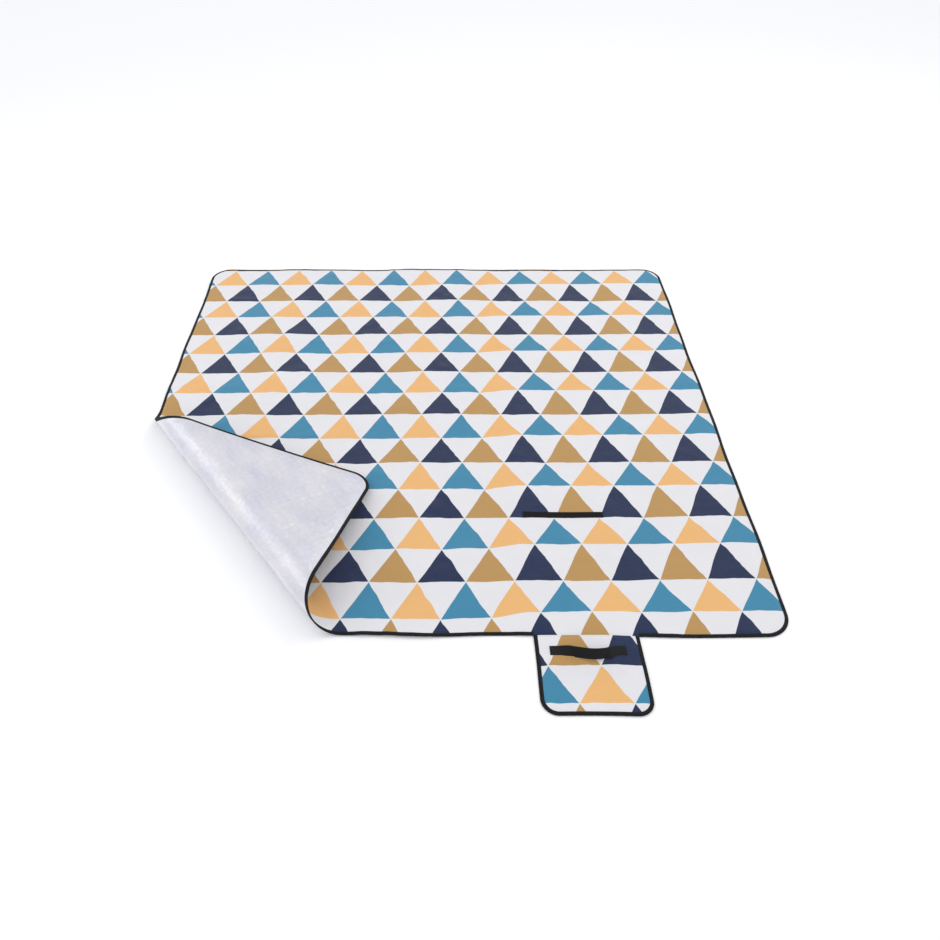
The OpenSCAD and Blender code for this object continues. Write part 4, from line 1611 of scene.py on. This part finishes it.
@dataclass
class Handle:
    """The webbing handle: two sewn tabs and a slack middle that leans over the flap."""

    blanket: Blanket
    kick: float = 5 * MM
    kick_at: tuple[float, float] = (0.86, 0.05)
    twist: float = 0.22
    twist_at: tuple[float, float] = (0.80, 0.06)
    y: float = -1.052
    width: float = 0.030
    thick: float = 1.8 * MM
    span: float = 0.160
    tab: float = 0.024
    bow: float = 0.036
    lean: float = math.radians(50.0)
    free: float = 0.24
    base: float = 5.9 * MM
    off_middle: float = -4 * MM

    def middle(self, u: Array) -> tuple[Array, Array, Array, Array]:
        """The webbing's middle line and the slant of its width.

        The bow rises as sin(pi w)^1.4, w = u^1.3 being drawn to the right, and leans by lean; the
        width turns square to it over the share free at each end. A small fold kicks the
        right-hand end up before its tab.

        Args:
            u: 0 at the left tab's inner end and 1 at the right one's.

        Returns:
            x, y, z and slant.
        """
        inner = np.clip(u, 0.0, 1.0)
        rise = self.bow * np.abs(np.sin(math.pi * inner ** 1.3)) ** 1.4
        place, width = self.kick_at
        kick = self.kick * np.exp(-((u - place) / width) ** 2)
        slant = self.lean * np.clip(np.minimum(u, 1.0 - u) / self.free, 0.0, 1.0) ** 1.6
        place, width = self.twist_at
        slant = slant + self.twist * np.exp(-((u - place) / width) ** 2)
        x = self.blanket.flap.middle + self.off_middle + self.span * (u - 0.5)
        y = self.y - rise * math.sin(self.lean) - kick * 0.8
        z = self.base + rise * math.cos(self.lean) + 0.5 * kick
        return x, y, z, slant

    def band(self, u: Array) -> Patch:
        """The webbing between two places, as a closed band with rounded edges.

        Its section is |a|^8 + |b|^2 = 1: nearly flat faces with round selvedges.
        """
        x, y, z, slant = (v[:, None] for v in self.middle(u))
        sides = 28
        ring = np.linspace(0.0, 2.0 * math.pi, sides + 1)[:-1]
        a = np.sign(np.cos(ring)) * np.abs(np.cos(ring)) ** 0.25 * self.width / 2.0
        b = np.sin(ring) * self.thick / 2.0
        settle = self.blanket.lift(x, np.full_like(x, self.y))
        ends = np.array([0.0] + [1.0] * (len(u) - 2) + [0.0])[:, None]
        a, b = a * (0.985 + 0.015 * ends), b * ends
        points = np.stack([x + 0.0 * a, y + a * np.cos(slant) - b * np.sin(slant),
                           z + settle + a * np.sin(slant) + b * np.cos(slant)], axis=-1)
        run = self.span * u[:, None] + 0.0 * a
        patch = Patch.grid(points, np.stack([run, a + 0.0 * run], axis=-1), closed=True)
        quads = patch.points[patch.faces]
        n = np.cross(quads[:, 1] - quads[:, 0], quads[:, 3] - quads[:, 0])
        if ((quads.mean(axis=1) - np.repeat(points.mean(axis=1)[:-1], sides, axis=0)) * n).sum() < 0.0:
            patch.faces = patch.faces[:, ::-1]
        return patch

    def make_half(self, side: str) -> bpy.types.Object:
        """Makes the webbing from one tab to the middle."""
        tab_u = self.tab / self.span
        inner = np.concatenate([[-tab_u, -tab_u + 0.002], spaced(-tab_u + 0.01, 0.5, 0.018)])
        left = side == "left"
        u = inner if left else 1.0 - inner[::-1]
        piece = self.band(u).build(f"handle_webbing_{side}", self.blanket.finishes.webbing)
        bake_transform(piece)
        nodes = ("handle_end_left", "handle_web") if left else ("handle_end_right",)
        return record(piece, nodes)

    def make_stitches(self) -> bpy.types.Object:
        """Makes the box and cross of stitches on each tab."""
        a, b = self.tab / 2.0 - 2.4 * MM, self.width / 2.0 - 2.6 * MM
        corners = [(-a, -b), (a, -b), (a, b), (-a, b), (-a, -b), (a, b)], [(-a, b), (a, -b)]
        rows = []
        for side in (-1.0, 1.0):
            x0 = self.blanket.flap.middle + self.off_middle + side * (self.span + self.tab) / 2.0
            for chain in corners:
                for (x1, y1), (x2, y2) in zip(chain[:-1], chain[1:]):
                    rows.append(self.row(x0, x1, y1, x2, y2))
        piece = Patch.joined(rows).build("handle_tab_stitches", self.blanket.finishes.thread)
        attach(piece, "flap")
        return record(piece, ("tab_stitching",))

    def row(self, x0: float, x1: float, y1: float, x2: float, y2: float) -> Patch:
        """One straight row of stitches on a tab whose middle is at x0."""
        length = math.hypot(x2 - x1, y2 - y1)
        cx, cy = (x2 - x1) / length, (y2 - y1) / length
        lift = self.blanket.lift(np.array([x0]), np.array([self.y]))[0]
        top = self.base + self.thick / 2.0 + lift

        def at(t: Array, across: Array, up: Array) -> Array:
            """Lays the row on the tab."""
            return np.stack([x0 + x1 + cx * t - cy * across, self.y + y1 + cy * t + cx * across,
                             top + up], axis=-1)
        count = max(2, int(length / (2.6 * MM)))
        middles = (np.arange(count) + 0.5) * length / count
        return stitch_patch(at, middles, 0.8 * length / count, 0.6 * MM, 0.4 * MM)

    def make(self) -> None:
        """Makes the webbing and its stitches."""
        self.make_half("left")
        self.make_half("right")
        self.make_stitches()


@dataclass
class Studio:
    """A plain pale floor, soft light and the camera."""

    lens: float = 31.6
    place: tuple[float, float, float] = (0.0207, -2.355, 1.891)
    elevation: float = math.radians(43.0)
    shift: float = 0.0309
    floor_half: float = 9.0

    def make_floor(self) -> None:
        """A pale matt floor just under the blanket."""
        g = Graph("floor", (0.97, 0.97, 0.975), 0.9)
        g.set("Specular IOR Level", 0.1)
        h = self.floor_half
        xy = np.linspace(-h, h, 3)
        x, y = np.meshgrid(xy, xy)
        points = np.stack([x, y, np.full_like(x, -0.2 * MM)], axis=-1)
        Patch.grid(points, np.stack([x, y], axis=-1)).build("floor", g.material)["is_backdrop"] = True

    def make_light(self, name: str, place: tuple[float, float, float], size: float,
                   watts: float) -> None:
        """A square soft light that points at the blanket."""
        data = bpy.data.lights.new(name, "AREA")
        data.shape, data.size, data.energy = "SQUARE", size, watts
        lamp = bpy.data.objects.new(name, data)
        lamp.location = place
        back = np.array(place)
        level = math.hypot(back[0], back[1])
        turn = math.atan2(back[1], back[0]) + math.pi / 2.0
        lamp.rotation_euler = (math.atan2(level, back[2]), 0.0, turn)
        bpy.context.scene.collection.objects.link(lamp)

    def make(self) -> None:
        """Makes the floor, the lights and the camera."""
        self.make_floor()
        world = bpy.data.worlds.new("studio")
        world.use_nodes = True
        sky = world.node_tree.nodes["Background"]
        sky.inputs[0].default_value = (0.97, 0.98, 1.0, 1.0)
        sky.inputs[1].default_value = 0.98
        bpy.context.scene.world = world
        self.make_light("key", (2.4, 1.6, 3.6), 2.4, 30.0)
        self.make_light("fill", (-2.8, -1.8, 3.0), 2.6, 11.0)
        self.make_light("rim", (-3.4, 0.6, 1.5), 1.8, 9.0)
        data = bpy.data.cameras.new("camera")
        data.lens, data.sensor_width, data.shift_x = self.lens, 36.0, self.shift
        camera = bpy.data.objects.new("camera", data)
        camera.location = self.place
        camera.rotation_euler = (math.pi / 2.0 - self.elevation, 0.0, 0.0)
        bpy.context.scene.collection.objects.link(camera)
        bpy.context.scene.camera = camera
        bpy.context.scene.view_settings.view_transform = "Standard"


def corners(box: tuple) -> list[list[float]]:
    """A box's two corners as plain lists."""
    return [[float(v) for v in corner] for corner in box]


def main(cad_box: tuple) -> None:
    """Builds the blanket round the frame.

    Args:
        cad_box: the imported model's lowest and highest corners.
    """
    logging.basicConfig(level=logging.INFO, format="%(message)s")
    Studio().make()
    blanket = Blanket(Finishes())
    blanket.make()
    Flap(blanket).make()
    LoopStrip(blanket).make()
    Handle(blanket).make()
    bpy.context.view_layer.update()
    {"cad": corners(cad_box), "visual": corners(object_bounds())}


if __name__ == "__main__":
    main(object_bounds())
